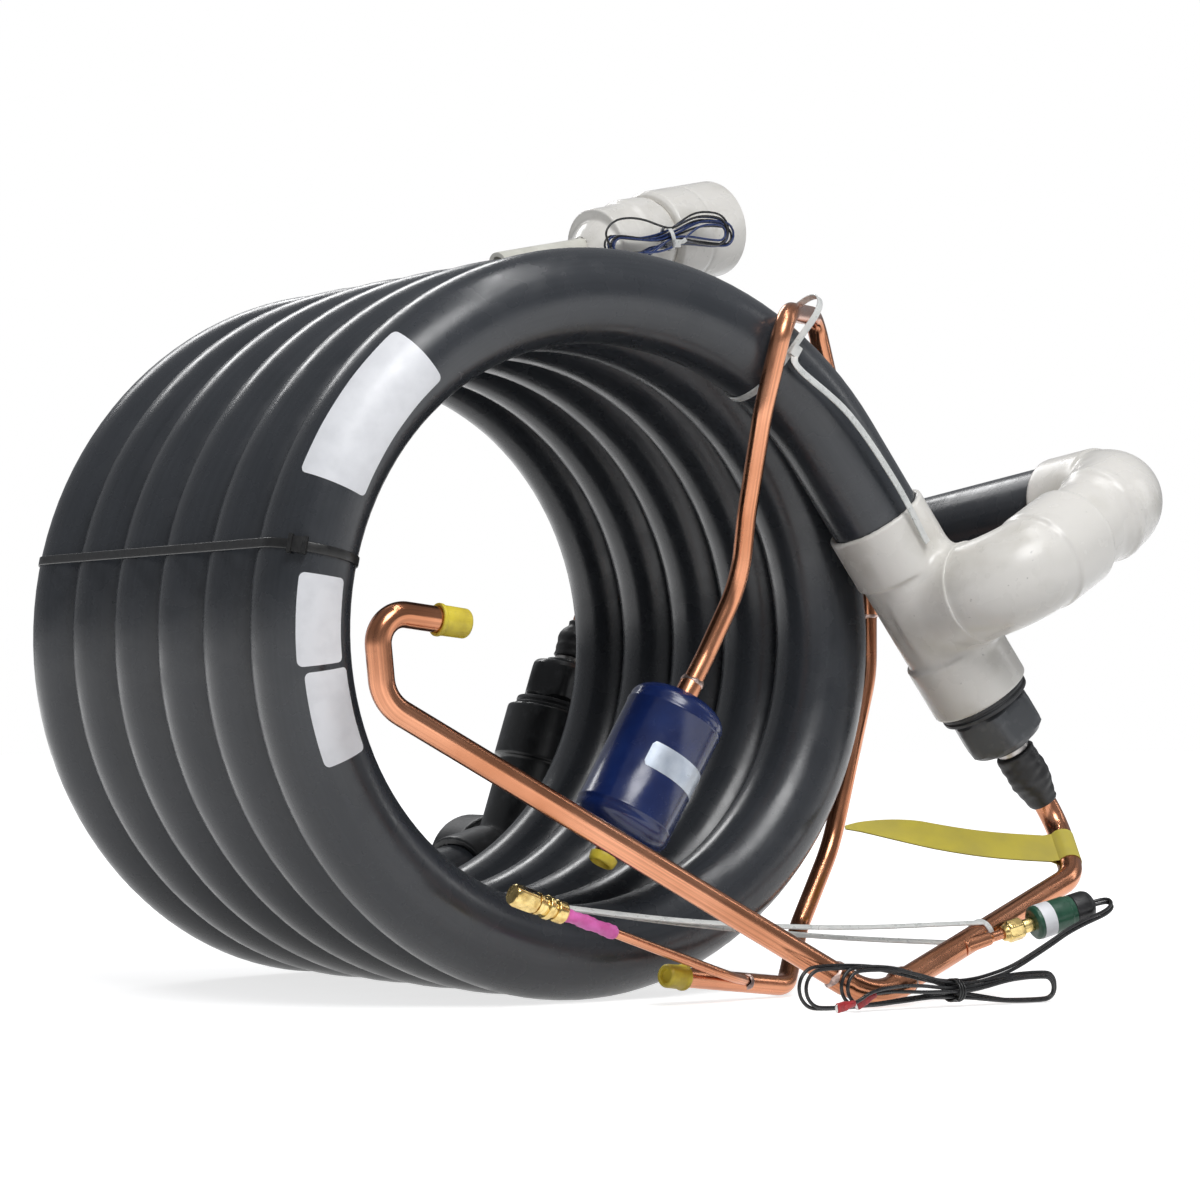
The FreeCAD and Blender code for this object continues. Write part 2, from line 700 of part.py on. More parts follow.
def access_valve(service):
    """A capillary from the capped tube to an access valve, with tape round it."""
    line = unit(service[-1] - service[-2])
    root = service[-2] + line * 32
    r = CAPILLARY_OD / 2
    run = [root, root + V(-34, -22, 7), V(-60, -32, -177)]
    tube = rod(path(run, by_radius(run, [60])), r)
    tube = tube.cut(cylinder(service[-2], line, 90, COLD_OD / 2))
    nodes["valve_tube"] = max(tube.Solids, key=lambda item: item.Volume)
    end = run[-1]
    aim = unit(run[2] - run[1])
    nodes["marker_tape"] = ring(end - aim * 43, aim, 40, r + 1.3, r)
    stem = 5.4
    nodes["service_valve"] = turned(end - aim * 2, aim, [
        (0, r), (0, 7), (8, 7), (8, 5), (11, 5), (11, 7.6), (15, 7.6), (15, stem), (34, stem),
        (34, 0), (2 + FIT, 0), (2 + FIT, r),
    ])
    cap = hexagon(end + aim * 20, aim, 18, 13, 0)
    nodes["valve_cap"] = cap.cut(cylinder(end + aim * 19, aim, 13 + FIT, stem + FIT))


def rear_elbow():
    """A side outlet elbow: the hose comes in, the titanium tube goes up, and water enters behind."""
    ports = (
        (REAR_LINE * -1, SOCKET_LEG, REAR_DEPTH),
        (REAR_UP, REAR_SEAT, SOCKET_DEPTH),
        (V(0, 1, 0), PORT_LEG, REAR_DEPTH),
    )
    body = Part.makeSphere(BODY_R + 1, REAR_CORNER)
    for line, leg, depth in ports:
        body = body.fuse(cylinder(REAR_CORNER, line, leg - 2, BODY_R))
        length = depth + 4
        body = body.fuse(hub(REAR_CORNER + line * (leg - length), line, length, REAR_HUB_R))
    body = body.cut(Part.makeSphere(BORE_R + 0.6, REAR_CORNER))
    for line, leg, depth in ports:
        body = body.cut(cylinder(REAR_CORNER, line, leg + 1, BORE_R))
        body = body.cut(cylinder(REAR_CORNER + line * (leg - depth), line, depth + 1, SOCKET_R))
    nodes["rear_elbow"] = body


def water_fittings():
    """Two street elbows on the front tee, the return hose, and the top elbow with its coupling."""
    depth = BRANCH_REACH - BRANCH_DEPTH + FIT
    nodes["branch_elbow"] = elbow(
        BRANCH_CORNER, BRANCH_LINE * -1, OUTLET_LINE, BRANCH_RUN - depth, ELBOW_LEG, False, True
    )
    spigot = OUTLET_RUN - ELBOW_LEG + SOCKET_DEPTH - FIT
    nodes["outlet_elbow"] = elbow(
        OUTLET_CORNER, OUTLET_LINE * -1, RETURN_LINE, spigot, ELBOW_LEG, False, True
    )
    inset = ELBOW_LEG - SOCKET_DEPTH + FIT
    run = [OUTLET_CORNER + RETURN_LINE * inset, RETURN_CORNER, TOP_CORNER - TOP_LINE * inset]
    nodes["return_hose"] = pipe(run, by_radius(run, [RETURN_BEND]), HOSE_R, HOSE_WALL)
    start = COUPLING_START
    top = elbow(
        TOP_CORNER, TOP_LINE * -1, PORT_LINE, ELBOW_LEG, start + COUPLING_DEPTH - FIT, True, False
    )
    nodes["top_elbow"] = top.cut(cylinder(TOP_CORNER, PORT_LINE * -1, 40, SENSOR_R + FIT))
    nodes["top_coupling"] = turned(TOP_CORNER + PORT_LINE * start, PORT_LINE, [
        (0, SOCKET_R), (0, COUPLING_R - 4), (4, COUPLING_R), (COUPLING_LENGTH - 1.5, COUPLING_R),
        (COUPLING_LENGTH, COUPLING_R - 1.5), (COUPLING_LENGTH, SOCKET_R),
        (COUPLING_DEPTH + 3, SOCKET_R), (COUPLING_DEPTH + 3, BORE_R),
        (COUPLING_DEPTH, BORE_R), (COUPLING_DEPTH, SOCKET_R),
    ])
    port = PORT_LINE * -1
    nodes["sensor_port"] = turned(TOP_CORNER + port * 13, port, [
        (0, SENSOR_BORE), (0, SENSOR_R), (PORT_REACH - 14, SENSOR_R), (PORT_REACH - 13, SENSOR_R - 1),
        (PORT_REACH - 13, SENSOR_BORE),
    ])


def coil_strap():
    """A strap drawn round all the turns on the left, with its buckle on the front turn."""
    turn = math.radians(STRAP_ANGLE)
    out = V(math.cos(turn), 0, math.sin(turn))
    along = V(-math.sin(turn), 0, math.cos(turn))
    first = COIL_PITCH * STRAP_ANGLE / 360
    last = first + COIL_PITCH * 5

    def outline(extra):
        r = HOSE_R + extra
        near = out * COIL_RADIUS + V(0, first, 0)
        far = out * COIL_RADIUS + V(0, last, 0)
        wire = Part.Wire([
            Part.LineSegment(near + out * r, far + out * r).toShape(),
            Part.Arc(far + out * r, far + V(0, r, 0), far - out * r).toShape(),
            Part.LineSegment(far - out * r, near - out * r).toShape(),
            Part.Arc(near - out * r, near - V(0, r, 0), near + out * r).toShape(),
        ])
        return Part.Face(wire)

    loop = outline(STRAP_GAP + STRAP_THICKNESS).cut(outline(STRAP_GAP)).extrude(along * STRAP_WIDTH)
    loop.translate(along * (-STRAP_WIDTH / 2))
    nodes["coil_strap"] = loop
    lean = math.radians(BUCKLE_ANGLE)
    face = out * math.cos(lean) - V(0, 1, 0) * math.sin(lean)
    across = out * math.sin(lean) + V(0, 1, 0) * math.cos(lean)
    seat = out * COIL_RADIUS + V(0, first, 0) + face * (HOSE_R + STRAP_GAP + STRAP_THICKNESS - 0.4)
    half = BUCKLE_SIZE / 2
    corners = [
        seat - across * half - along * half, seat + across * half - along * half,
        seat + across * half + along * half, seat - across * half + along * half,
    ]
    buckle = strip(corners, face, 4.5)
    nodes["strap_buckle"] = buckle.cut(loop)


def flat_bar(start, end, width_line, width, thickness):
    """A straight piece of tie between two points."""
    along = unit(end - start)
    wide = square_to(along, width_line) * (width / 2)
    thin = unit(along.cross(wide)) * (thickness / 2)
    corners = [start - wide - thin, start + wide - thin, start + wide + thin, start - wide + thin]
    face = Part.Face(Part.makePolygon(corners + [corners[0]]))
    return face.extrude(end - start)


def top_tie(edges):
    """A tie round the hose and the hook line, with its head in front and a long free tail."""
    here, along = place_on(edges, edges[0].Length + edges[1].Length / 2)
    along = along * -1
    gap = 0.15
    hook = (31, -22, 16.5)
    loop = belt(here, along, (0, 0, HOSE_R), hook, TIE_WIDTH, gap, gap + TIE_THICKNESS)
    out = unit(along.cross(V(0, 1, 0)))
    head = here + out * 4 - V(0, HOSE_R + gap + TIE_THICKNESS - 0.3, 0)
    block = flat_bar(head - out * 4, head + out * 4, along, 7, 9)
    block = block.cut(cylinder(here - along * 20, along, 40, HOSE_R + gap + 0.3))
    tail_start = head - V(0, 3.5, 0)
    tail_end = on_front(TEE_MOUTH + 22) - V(0, HUB_R + 4, 0)
    tail = flat_bar(tail_start, tail_end, V(1, 0, 0.7), TIE_WIDTH, TIE_THICKNESS)
    nodes["top_tie"] = loop.fuse([block, tail])


def long_tie(lower):
    """A long tie from the hot gas tube to the inside of the front turn."""
    line = unit(lower[3] - lower[2])
    middle = lower[2] + line * 106
    inner = HOT_OD / 2 + FIT
    loop = ring(middle - line * (TIE_WIDTH / 2), line, TIE_WIDTH, inner + TIE_THICKNESS, inner)
    angle = 256
    lean = math.radians(150)
    catch = around(angle, COIL_PITCH * angle / 360 - HOSE_R * math.sin(lean),
                   COIL_RADIUS + HOSE_R * math.cos(lean))
    back = square_to(line, catch - middle)
    side = line.cross(back)
    strands = []
    for rise in (1, -1):
        start = middle + side * (rise * (inner + TIE_THICKNESS / 2))
        strands.append(flat_bar(start, catch + V(0, 0, TIE_THICKNESS), line, TIE_WIDTH, TIE_THICKNESS))
    nodes["long_tie"] = loop.fuse(strands)


def coil_lead(edges):
    """How far along the hose the first full arc of the coil starts."""
    return sum(edge.Length for edge in edges[:3])


def labels(edges):
    """Blank labels on the front turn, placed by their angle round the coil."""
    per_degree = math.radians(1) * math.hypot(COIL_RADIUS, COIL_PITCH / (2 * math.pi))
    first = COIL_START + 180 / ARCS_PER_TURN
    for name, start, end, low, high in LABELS:
        from_length = coil_lead(edges) + (start - first) * per_degree
        to_length = coil_lead(edges) + (end - first) * per_degree
        nodes[name] = patch(edges, from_length, to_length, low, high, LABEL_THICKNESS)


def cord_run(name, points, diameter):
    """The stretch of a cord that isn't coiled."""
    reaches = []
    radii = []
    for index in range(1, len(points) - 1):
        before = points[index] - points[index - 1]
        after = points[index + 1] - points[index]
        reach = 0.45 * min(before.Length, after.Length)
        reaches.append(reach)
        radii.append(round(reach / math.tan(before.getAngle(after) / 2), 1))
    nodes[name] = rod(path(points, reaches), diameter / 2)
    print(name, "bend radii", radii)


def switch_leads(exit_point, exit_line):
    """The switch's leads, their tied hank in front of the floor turn, and its two terminals."""
    front = -126
    outline = [
        (58, -223), (65, -212), (80, -208), (108, -211), (145, -220), (170, -223), (186, -223.5),
        (215, -223), (245, -221.5), (262, -227), (262, -232), (245, -235), (205, -232), (186, -231),
        (170, -231), (150, -233), (115, -236.6), (85, -236.6), (66, -232),
    ]
    corners = [V(x, front, z) for x, z in outline]
    hank = strip(corners, V(0, 1, 0), HANK_DEPTH)
    nodes["switch_lead_hank"] = hank
    block = Part.makeBox(7, HANK_DEPTH + 3, 11, V(174.5, front - 1.5, -232.7))
    nodes["lead_tie"] = block.cut(hank)
    side = front + HANK_DEPTH / 2
    points = [
        exit_point,
        exit_point + exit_line * 14,
        V(310, -116, -196),
        V(268, side - 2, -205),
        V(238, side, -211),
        V(225, side, -213),
        V(225, side, -222.3),
    ]
    cord_run("switch_leads", points, LEAD_BUNDLE_OD)
    blades = []
    for drop, shift in ((0, 0), (3.3, 9)):
        start = V(84 + shift, front - 1.6 - drop, -232.2 + shift * 0.4)
        blades.append(flat_bar(start, start + V(19, 0, 7), V(0, 0, 1), 6.4, 3.2))
    nodes["spade_terminals"] = Part.makeCompound(blades)


def sensor_lead():
    """The sensor's lead behind the coil's top, its tied hank in front of the top elbow."""
    back = TOP_CORNER.y - HOSE_R - 0.3
    front = back - 12
    outline = [
        (243, 301), (243, 312), (251, 320), (265, 322), (285, 317), (303, 311), (313, 312), (335, 322),
        (357, 333), (368, 335), (371, 328), (367, 313), (352, 301), (330, 297), (313, 300), (303, 299),
        (285, 293), (262, 291), (250, 294),
    ]
    hank = strip([V(x, front, z) for x, z in outline], V(0, 1, 0), 12)
    nodes["sensor_lead_hank"] = hank
    block = Part.makeBox(6, 15, 16, V(305, front - 1.5, 297.4))
    nodes["sensor_tie"] = block.cut(hank)
    hub_centre = TOP_CORNER - TOP_LINE * 46
    leave = hub_centre - V(0, HUB_R, 0)
    points = [
        leave,
        leave - V(0, 14, 0),
        V(268, front + 5, 274),
        V(262, front + 6, 290.4),
    ]
    cord_run("sensor_lead", points, SENSOR_BUNDLE_OD)


def build():
    edges = outer_hose()
    titanium_tube()
    front_tee()
    gland_set("front", on_front(TEE_END), FRONT_LINE)
    gland_set("rear", on_rear(REAR_SEAT), REAR_UP)
    joint_sleeve("front_joint_sleeve", on_front(FRONT_SLEEVE), FRONT_LINE,
                 TI_FRONT_END - FRONT_SLEEVE, HOT_OD / 2, FRONT_SLEEVE_LENGTH)
    joint_sleeve("rear_joint_sleeve", on_rear(REAR_SLEEVE), REAR_UP,
                 TI_REAR_END - REAR_SLEEVE, COLD_OD / 2, REAR_SLEEVE_LENGTH)
    lower, upper = discharge_tubes()
    hang_tag(lower)
    exit_point, exit_line = pressure_switch(lower)
    top_stub = drier()
    service = liquid_lines(top_stub)
    access_valve(service)
    rear_elbow()
    water_fittings()
    coil_strap()
    top_tie(edges)
    long_tie(lower)
    labels(edges)
    switch_leads(exit_point, exit_line)
    sensor_lead()


def export():
    solid_parts = [shape for name, shape in nodes.items() if name not in loose]
    box = Part.makeCompound(solid_parts).optimalBoundingBox(False, False)
    shift = V(-(box.XMin + box.XMax) / 2, -(box.YMin + box.YMax) / 2, -box.ZMin)
    print("shift", shift)
    print("box", box.XLength, box.YLength, box.ZLength)
    os.makedirs("parts", exist_ok=True)
    for name, shape in nodes.items():
        shape.translate(shift)
        print(name, len(shape.Solids), "solids", "valid" if shape.isValid() else "NOT VALID",
              round(shape.Volume / 1000, 2), "cm3")
        shape.exportStep("parts/" + name + ".step")


build()
export()
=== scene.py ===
import math

import bmesh
import bpy
import numpy as np
from mathutils import Matrix, Vector


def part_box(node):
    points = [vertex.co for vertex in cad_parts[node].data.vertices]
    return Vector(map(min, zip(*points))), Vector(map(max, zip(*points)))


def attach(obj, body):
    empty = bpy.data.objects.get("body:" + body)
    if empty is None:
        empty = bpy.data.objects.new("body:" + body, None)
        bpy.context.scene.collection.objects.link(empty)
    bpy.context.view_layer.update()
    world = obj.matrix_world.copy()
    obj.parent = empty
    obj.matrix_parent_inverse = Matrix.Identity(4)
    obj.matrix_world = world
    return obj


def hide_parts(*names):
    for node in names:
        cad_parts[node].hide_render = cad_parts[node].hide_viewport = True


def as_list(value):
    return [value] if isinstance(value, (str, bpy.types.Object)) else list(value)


# The looks of a coiled titanium heat exchanger. Sizes are in millimetres round the coil's centre,
# as in the source of the CAD model, and are moved into the row frame in metres when a piece is made.

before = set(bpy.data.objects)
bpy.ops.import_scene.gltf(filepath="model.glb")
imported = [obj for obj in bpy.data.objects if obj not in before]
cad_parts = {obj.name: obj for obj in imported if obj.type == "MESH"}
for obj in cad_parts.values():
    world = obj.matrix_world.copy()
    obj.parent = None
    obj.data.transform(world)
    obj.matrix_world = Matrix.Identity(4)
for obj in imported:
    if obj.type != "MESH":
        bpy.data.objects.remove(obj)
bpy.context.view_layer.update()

V = Vector
UP = V((0, 0, 1))
BACK = V((0, 1, 0))

# Hose and coil
HOSE_OD = 60.3
HOSE_WALL = 4.0
COIL_RADIUS = 207.0
TURN_GAP = 0.7
COIL_PITCH = HOSE_OD + TURN_GAP
ARCS_PER_TURN = 8
COIL_ARCS = 44
HOSE_LENGTHS = 6
COIL_START = 58.3

# The two straight ends of the coil
FRONT_ANGLE = 57.1
FRONT_RISE = 19.0
FRONT_DROP = 54.6
FRONT_DRIFT = 0.058
FRONT_SETBACK = 1.5
REAR_REACH = 31.0
REAR_RISE = 13.25
REAR_DRIFT = 0.217
REAR_RUN = 188.9
REAR_CLIMB = 71.1

# Fittings
HUB_OD = 68.0
BODY_OD = 63.0
STREET_OD = 66.0
SOCKET_DEPTH = 36.0
FITTING_WALL = 4.5
FIT = 0.1
ELBOW_LEG = 66.0
ELBOW_BEND = 36.0
TEE_MOUTH = 142.6
TEE_LENGTH = 142.0
BRANCH_REACH = 44.0
BRANCH_DEPTH = 16.0
BRANCH_RUN = 76.0
OUTLET_RUN = 140.0
RETURN_RUN = 487.0
RETURN_BEND = 177.0
TOP_RUN = 280.0
COUPLING_OD = 75.0
COUPLING_START = 60.0
COUPLING_LENGTH = 72.0
COUPLING_DEPTH = 34.0
SENSOR_OD = 19.0
SENSOR_HOLE = 12.0
PORT_REACH = 105.0
REAR_HUB_OD = 72.0
REAR_DEPTH = 31.0
SOCKET_LEG = 58.0
REAR_SEAT = 116.0
PORT_LEG = 62.0
BUSHING_OD = 63.0
BUSHING_FLANGE = 7.5
GLAND_HEIGHT = 30.0
GLAND_FLATS = 52.0
GLAND_COLLAR = 4.0
GLAND_COLLAR_OD = 36.0
GLAND_STEM_R = 20.0

# Titanium and copper
TI_OD = 22.2
TI_FRONT_END = 352.0
TI_REAR_END = 176.0
FRONT_SLEEVE = 331.0
REAR_SLEEVE = 161.0
SLEEVE_WALL = 1.4
FRONT_SLEEVE_LENGTH = 42.0
REAR_SLEEVE_LENGTH = 29.0
HOT_OD = 15.9
COLD_OD = 12.7
CAPILLARY_OD = 6.35
COPPER_WALL = 1.0
BRAZE_WALL = 1.2
CUP_LENGTH = 12.0
DISCHARGE_BEND = 40.0
CAP_WALL = 1.5
LIQUID_GAP = 8.4
TEE_DRIFT = 60.0
TEE_ARM = 22.0
VALVE_PLACE = 32.0
HOT_SIDES = 40
COLD_SIDES = 36

# Drier, switch, tag, strap and ties
DRIER_OD = 64.0
DRIER_LENGTH = 80.0
DRIER_SHOULDER = 12.0
DRIER_STUB = 12.0
SWITCH_PLACE = 136.0
SWITCH_STUB = 50.0
SWITCH_OD = 22.0
SWITCH_LENGTH = 29.0
SWITCH_BOOT = 15.0
TAG_PLACE = 32.0
TAG_WIDTH = 26.0
TAG_LENGTH = 150.0
TAG_THICKNESS = 0.5
LABEL_THICKNESS = 0.25
STRAP_ANGLE = 169.0
STRAP_WIDTH = 6.0
STRAP_THICKNESS = 1.0
STRAP_GAP = 0.2
BUCKLE_ANGLE = 50.0
TIE_WIDTH = 4.6
TIE_THICKNESS = 1.2
LONG_TIE_PLACE = 106.0
TIE_GAP = 0.15

# A direction that no line of the assembly runs along, to start the frames of round pieces from
SIDE_HINT = V((0.31, 0.47, 0.83))

# How far the cut of a bore or socket runs out past the face, and how much its rims are rounded
PAST = 5.0
CUT_EASE = 0.2

# Values that follow from those
HOSE_R = HOSE_OD / 2
HUB_R = HUB_OD / 2
BODY_R = BODY_OD / 2
BORE_R = HOSE_R - FITTING_WALL
HUB_LENGTH = SOCKET_DEPTH + 4
SOCKET_R = HOSE_R + FIT
TI_R = TI_OD / 2
HOT_R = HOT_OD / 2
COLD_R = COLD_OD / 2
FLOOR = -(COIL_RADIUS + HOSE_R)


def turned_to(azimuth, elevation):
    flat = math.cos(math.radians(elevation))
    return V((
        flat * math.cos(math.radians(azimuth)),
        flat * math.sin(math.radians(azimuth)),
        math.sin(math.radians(elevation)),
    ))


def around(angle, drift, radius):
    """A point at an angle round the coil's axis, at a height radius from it."""
    turn = math.radians(angle)
    return V((radius * math.cos(turn), drift, radius * math.sin(turn)))


def beside(angle, drift, gap):
    return around(angle, drift, COIL_RADIUS + HOSE_R + gap)


def within(angle, drift, gap):
    return around(angle, drift, COIL_RADIUS - HOSE_R - gap)


def square_to(line, rough):
    """The direction nearest to rough that is square to line."""
    return (rough - line * rough.dot(line)).normalized()


def spoke(side, other, turn):
    """The direction at an angle from side towards other."""
    return side * math.cos(turn) + other * math.sin(turn)


def coil_corner(index):
    """A corner of the polygon whose tangent arcs make the coil."""
    angle = math.radians(COIL_START + 360 / ARCS_PER_TURN * index)
    radius = COIL_RADIUS / math.cos(math.pi / ARCS_PER_TURN)
    return V((radius * math.cos(angle), COIL_PITCH * angle / (2 * math.pi), radius * math.sin(angle)))


# Main lines of the assembly
HALF_EDGE = (coil_corner(1) - coil_corner(0)).length / 2
FRONT_CORNER = around(FRONT_ANGLE, coil_corner(0).y - FRONT_SETBACK, COIL_RADIUS + FRONT_RISE)
FRONT_LINE = V((
    math.cos(math.radians(FRONT_DROP)), -FRONT_DRIFT, -math.sin(math.radians(FRONT_DROP))
)).normalized()
LAST_LINE = V((115.1, 12.6, -18.6)).normalized()
LAST_CORNER = coil_corner(COIL_ARCS) + LAST_LINE * (HALF_EDGE + REAR_REACH + 0.5)
REAR_LINE = V((
    math.cos(math.radians(REAR_RISE)), REAR_DRIFT, math.sin(math.radians(REAR_RISE))
)).normalized()
REAR_CORNER = LAST_CORNER + REAR_LINE * REAR_RUN
REAR_UP = turned_to(3.5, REAR_CLIMB)
TEE_END = TEE_MOUTH + TEE_LENGTH


def on_front(distance):
    return FRONT_CORNER + FRONT_LINE * distance


def on_rear(distance):
    return REAR_CORNER + REAR_UP * distance


TEE_CENTRE = on_front(TEE_MOUTH + TEE_LENGTH / 2)
BRANCH_LINE = square_to(FRONT_LINE, V((0.19, -0.96, 0.21)))
BRANCH_CORNER = TEE_CENTRE + BRANCH_LINE * BRANCH_RUN
OUTLET_LINE = turned_to(11.3, 27.1)
OUTLET_CORNER = BRANCH_CORNER + OUTLET_LINE * OUTLET_RUN
RETURN_LINE = turned_to(98.1, -8.4)
RETURN_CORNER = OUTLET_CORNER + RETURN_LINE * RETURN_RUN
TOP_LINE = turned_to(180, 79.8)
TOP_CORNER = RETURN_CORNER + TOP_LINE * TOP_RUN
PORT_LINE = turned_to(11.6, 12.0)
LIQUID_CORNER = on_rear((COIL_RADIUS + HOSE_R + LIQUID_GAP - REAR_CORNER.x) / REAR_UP.x)
LIQUID_TEE = V((LIQUID_CORNER.x, TEE_DRIFT, LIQUID_CORNER.z))
DRIER_LINE = V((0.522, 0, 0.853)).normalized()
DRIER_CENTRE = within(-66.4, 20, 78)
SWITCH_LINE = V((0.94, -0.21, 0.27)).normalized()

# The label's ring is drawn round the drier's middle, so its box gives the way to the row frame.
label_low, label_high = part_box("drier_label")
SHIFT = (label_low + label_high) / 2 * 1000 - DRIER_CENTRE


def to_row(point):
    """A point round the coil's centre, in millimetres, as one in the row frame, in metres."""
    return (point + SHIFT) / 1000


# Lines that pieces follow


def arc_reach(points, index, radius):
    before = (points[index] - points[index - 1]).normalized()
    after = (points[index + 1] - points[index]).normalized()
    return radius * math.tan(before.angle(after) / 2)


def by_radius(points, radii):
    return [arc_reach(points, index + 1, radius) for index, radius in enumerate(radii)]


def rounded(points, reaches, turn_step=4.0, run_step=12.0):
    """Points along straight runs joined by tangent arcs, with the arcs divided by their turning."""
    line = [points[0].copy()]

    def run_to(goal):
        here = line[-1]
        count = max(1, math.ceil((goal - here).length / run_step))
        for step in range(1, count + 1):
            line.append(here.lerp(goal, step / count))

    for index in range(1, len(points) - 1):
        corner = points[index]
        reach = reaches[index - 1]
        to_last = (points[index - 1] - corner).normalized()
        to_next = (points[index + 1] - corner).normalized()
        start = corner + to_last * reach
        if (start - line[-1]).length > 0.02:
            run_to(start)
        turning = math.pi - to_last.angle(to_next)
        radius = reach / math.tan(turning / 2)
        centre = corner + (to_last + to_next).normalized() * math.hypot(radius, reach)
        spin = to_last.cross(to_next).normalized()
        count = max(1, math.ceil(math.degrees(turning) / turn_step))
        for step in range(1, count + 1):
            turn = Matrix.Rotation(-turning * step / count, 3, spin)
            line.append(centre + turn @ (start - centre))
    if (points[-1] - line[-1]).length > 0.02:
        run_to(points[-1])
    return line


def lengths_along(line):
    passed = [0.0]
    for first, second in zip(line, line[1:]):
        passed.append(passed[-1] + (second - first).length)
    return passed


def directions(line):
    result = []
    for index in range(len(line)):
        first = line[max(index - 1, 0)]
        last = line[min(index + 1, len(line) - 1)]
        result.append((last - first).normalized())
    return result


def carried_frames(line):
    """Two directions square to the line at each point, carried along it without twist."""
    side = SIDE_HINT
    frames = []
    for way in directions(line):
        side = square_to(way, side)
        frames.append((side, way.cross(side)))
    return frames


# Mesh pieces


def skin(rows, sides, base=0):
    """Faces between rows of points that each go once round."""
    faces = []
    for row in range(rows - 1):
        for index in range(sides):
            a = base + row * sides + index
            b = base + row * sides + (index + 1) % sides
            faces.append((a, b, b + sides, a + sides))
    return faces


def closed_skin(rows, sides):
    """The same with a face over each end."""
    ends = [tuple(range(sides - 1, -1, -1)), tuple(range((rows - 1) * sides, rows * sides))]
    return skin(rows, sides) + ends


def sheet_faces(rows, across):
    """Faces of a thin sheet from two layers of rows of points, with its edges closed."""
    count = rows * across
    faces = []
    for row in range(rows - 1):
        for index in range(across - 1):
            a = row * across + index
            faces.append((a, a + 1, a + 1 + across, a + across))
            faces.append((count + a, count + a + across, count + a + 1 + across, count + a + 1))
    for row in range(rows - 1):
        for index in (0, across - 1):
            a = row * across + index
            faces.append((a, a + across, count + a + across, count + a))
    for row in (0, rows - 1):
        for index in range(across - 1):
            a = row * across + index
            faces.append((a, a + 1, count + a + 1, count + a))
    return faces


def piece(name, node, vertices, faces, finish, slot, sharp=40.0, heat=None, uv=None):
    """A mesh in the row frame that rides on the root and stands for a node, from points in millimetres."""
    mesh = bpy.data.meshes.new(name)
    mesh.from_pydata([to_row(point) for point in vertices], [], faces)
    if heat is not None:
        layer = mesh.attributes.new("heat", "FLOAT", "POINT")
        layer.data.foreach_set("value", heat if isinstance(heat, list) else [heat] * len(vertices))
    if uv is not None:
        layer = mesh.uv_layers.new(name="along")
        loops = np.empty(len(mesh.loops), int)
        mesh.loops.foreach_get("vertex_index", loops)
        layer.data.foreach_set("uv", np.array(uv, float)[loops].ravel())
    work = bmesh.new()
    work.from_mesh(mesh)
    bmesh.ops.recalc_face_normals(work, faces=work.faces)
    work.to_mesh(mesh)
    work.free()
    mesh.validate()
    mesh.shade_smooth()
    mesh.set_sharp_from_angle(angle=math.radians(sharp))
    made = bpy.data.objects.new(name, mesh)
    bpy.context.scene.collection.objects.link(made)
    mesh.materials.append(finish)
    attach(made, "root")
    if node is not None:
        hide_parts(node)
    return made


def swept(line, radius, sides=32, wall=None):
    """Points and faces of a rod along a line, hollow where it has a wall. radius may vary along it."""
    radii = radius if isinstance(radius, list) else [radius] * len(line)
    rings = list(zip(line, carried_frames(line), radii, lengths_along(line)))
    vertices = []
    uv = []
    for take_off in (0,) if wall is None else (0, wall):
        for place, (side, other), r, gone in rings:
            for index in range(sides):
                vertices.append(place + spoke(side, other, 2 * math.pi * index / sides) * (r - take_off))
                uv.append((gone / 1000, index / sides))
    rows = len(line)
    if wall is None:
        return vertices, closed_skin(rows, sides), uv
    count = rows * sides
    faces = skin(rows, sides) + skin(rows, sides, count)
    for base in (0, count - sides):
        for index in range(sides):
            after = (index + 1) % sides
            faces.append((base + index, base + after, count + base + after, count + base + index))
    return vertices, faces, uv


def heat_from(line, sides, spots, layers=1):
    """How far the flame of each joint has coloured a tube. A spot is a length along it and a spread."""
    values = []
    for gone in lengths_along(line):
        strength = max([math.exp(-((gone - place) / spread) ** 2) for place, spread in spots] + [0.0])
        values += [strength] * sides
    return values * layers


def tube(name, node, line, radius, finish, slot, sides=32, wall=None, spots=None):
    vertices, faces, uv = swept(line, radius, sides, wall)
    heat = None
    if spots is not None:
        heat = heat_from(line, sides, spots, 1 if wall is None else 2)
    return piece(name, node, vertices, faces, finish, slot, heat=heat, uv=uv)


def eased(outline, radius, steps=4):
    """An outline with its corners rounded, but not where it meets the axis."""
    result = []
    count = len(outline)
    for index, (along, out) in enumerate(outline):
        here = V((along, out))
        last = V(outline[index - 1])
        following = V(outline[(index + 1) % count])
        if out < 0.001:
            result.append((along, out))
            continue
        to_last = last - here
        to_next = following - here
        reach = min(radius, to_last.length * 0.45, to_next.length * 0.45)
        start = here + to_last.normalized() * reach
        end = here + to_next.normalized() * reach
        for step in range(steps + 1):
            t = step / steps
            spot = start * (1 - t) ** 2 + here * (2 * t * (1 - t)) + end * t ** 2
            result.append((spot.x, spot.y))
    return result


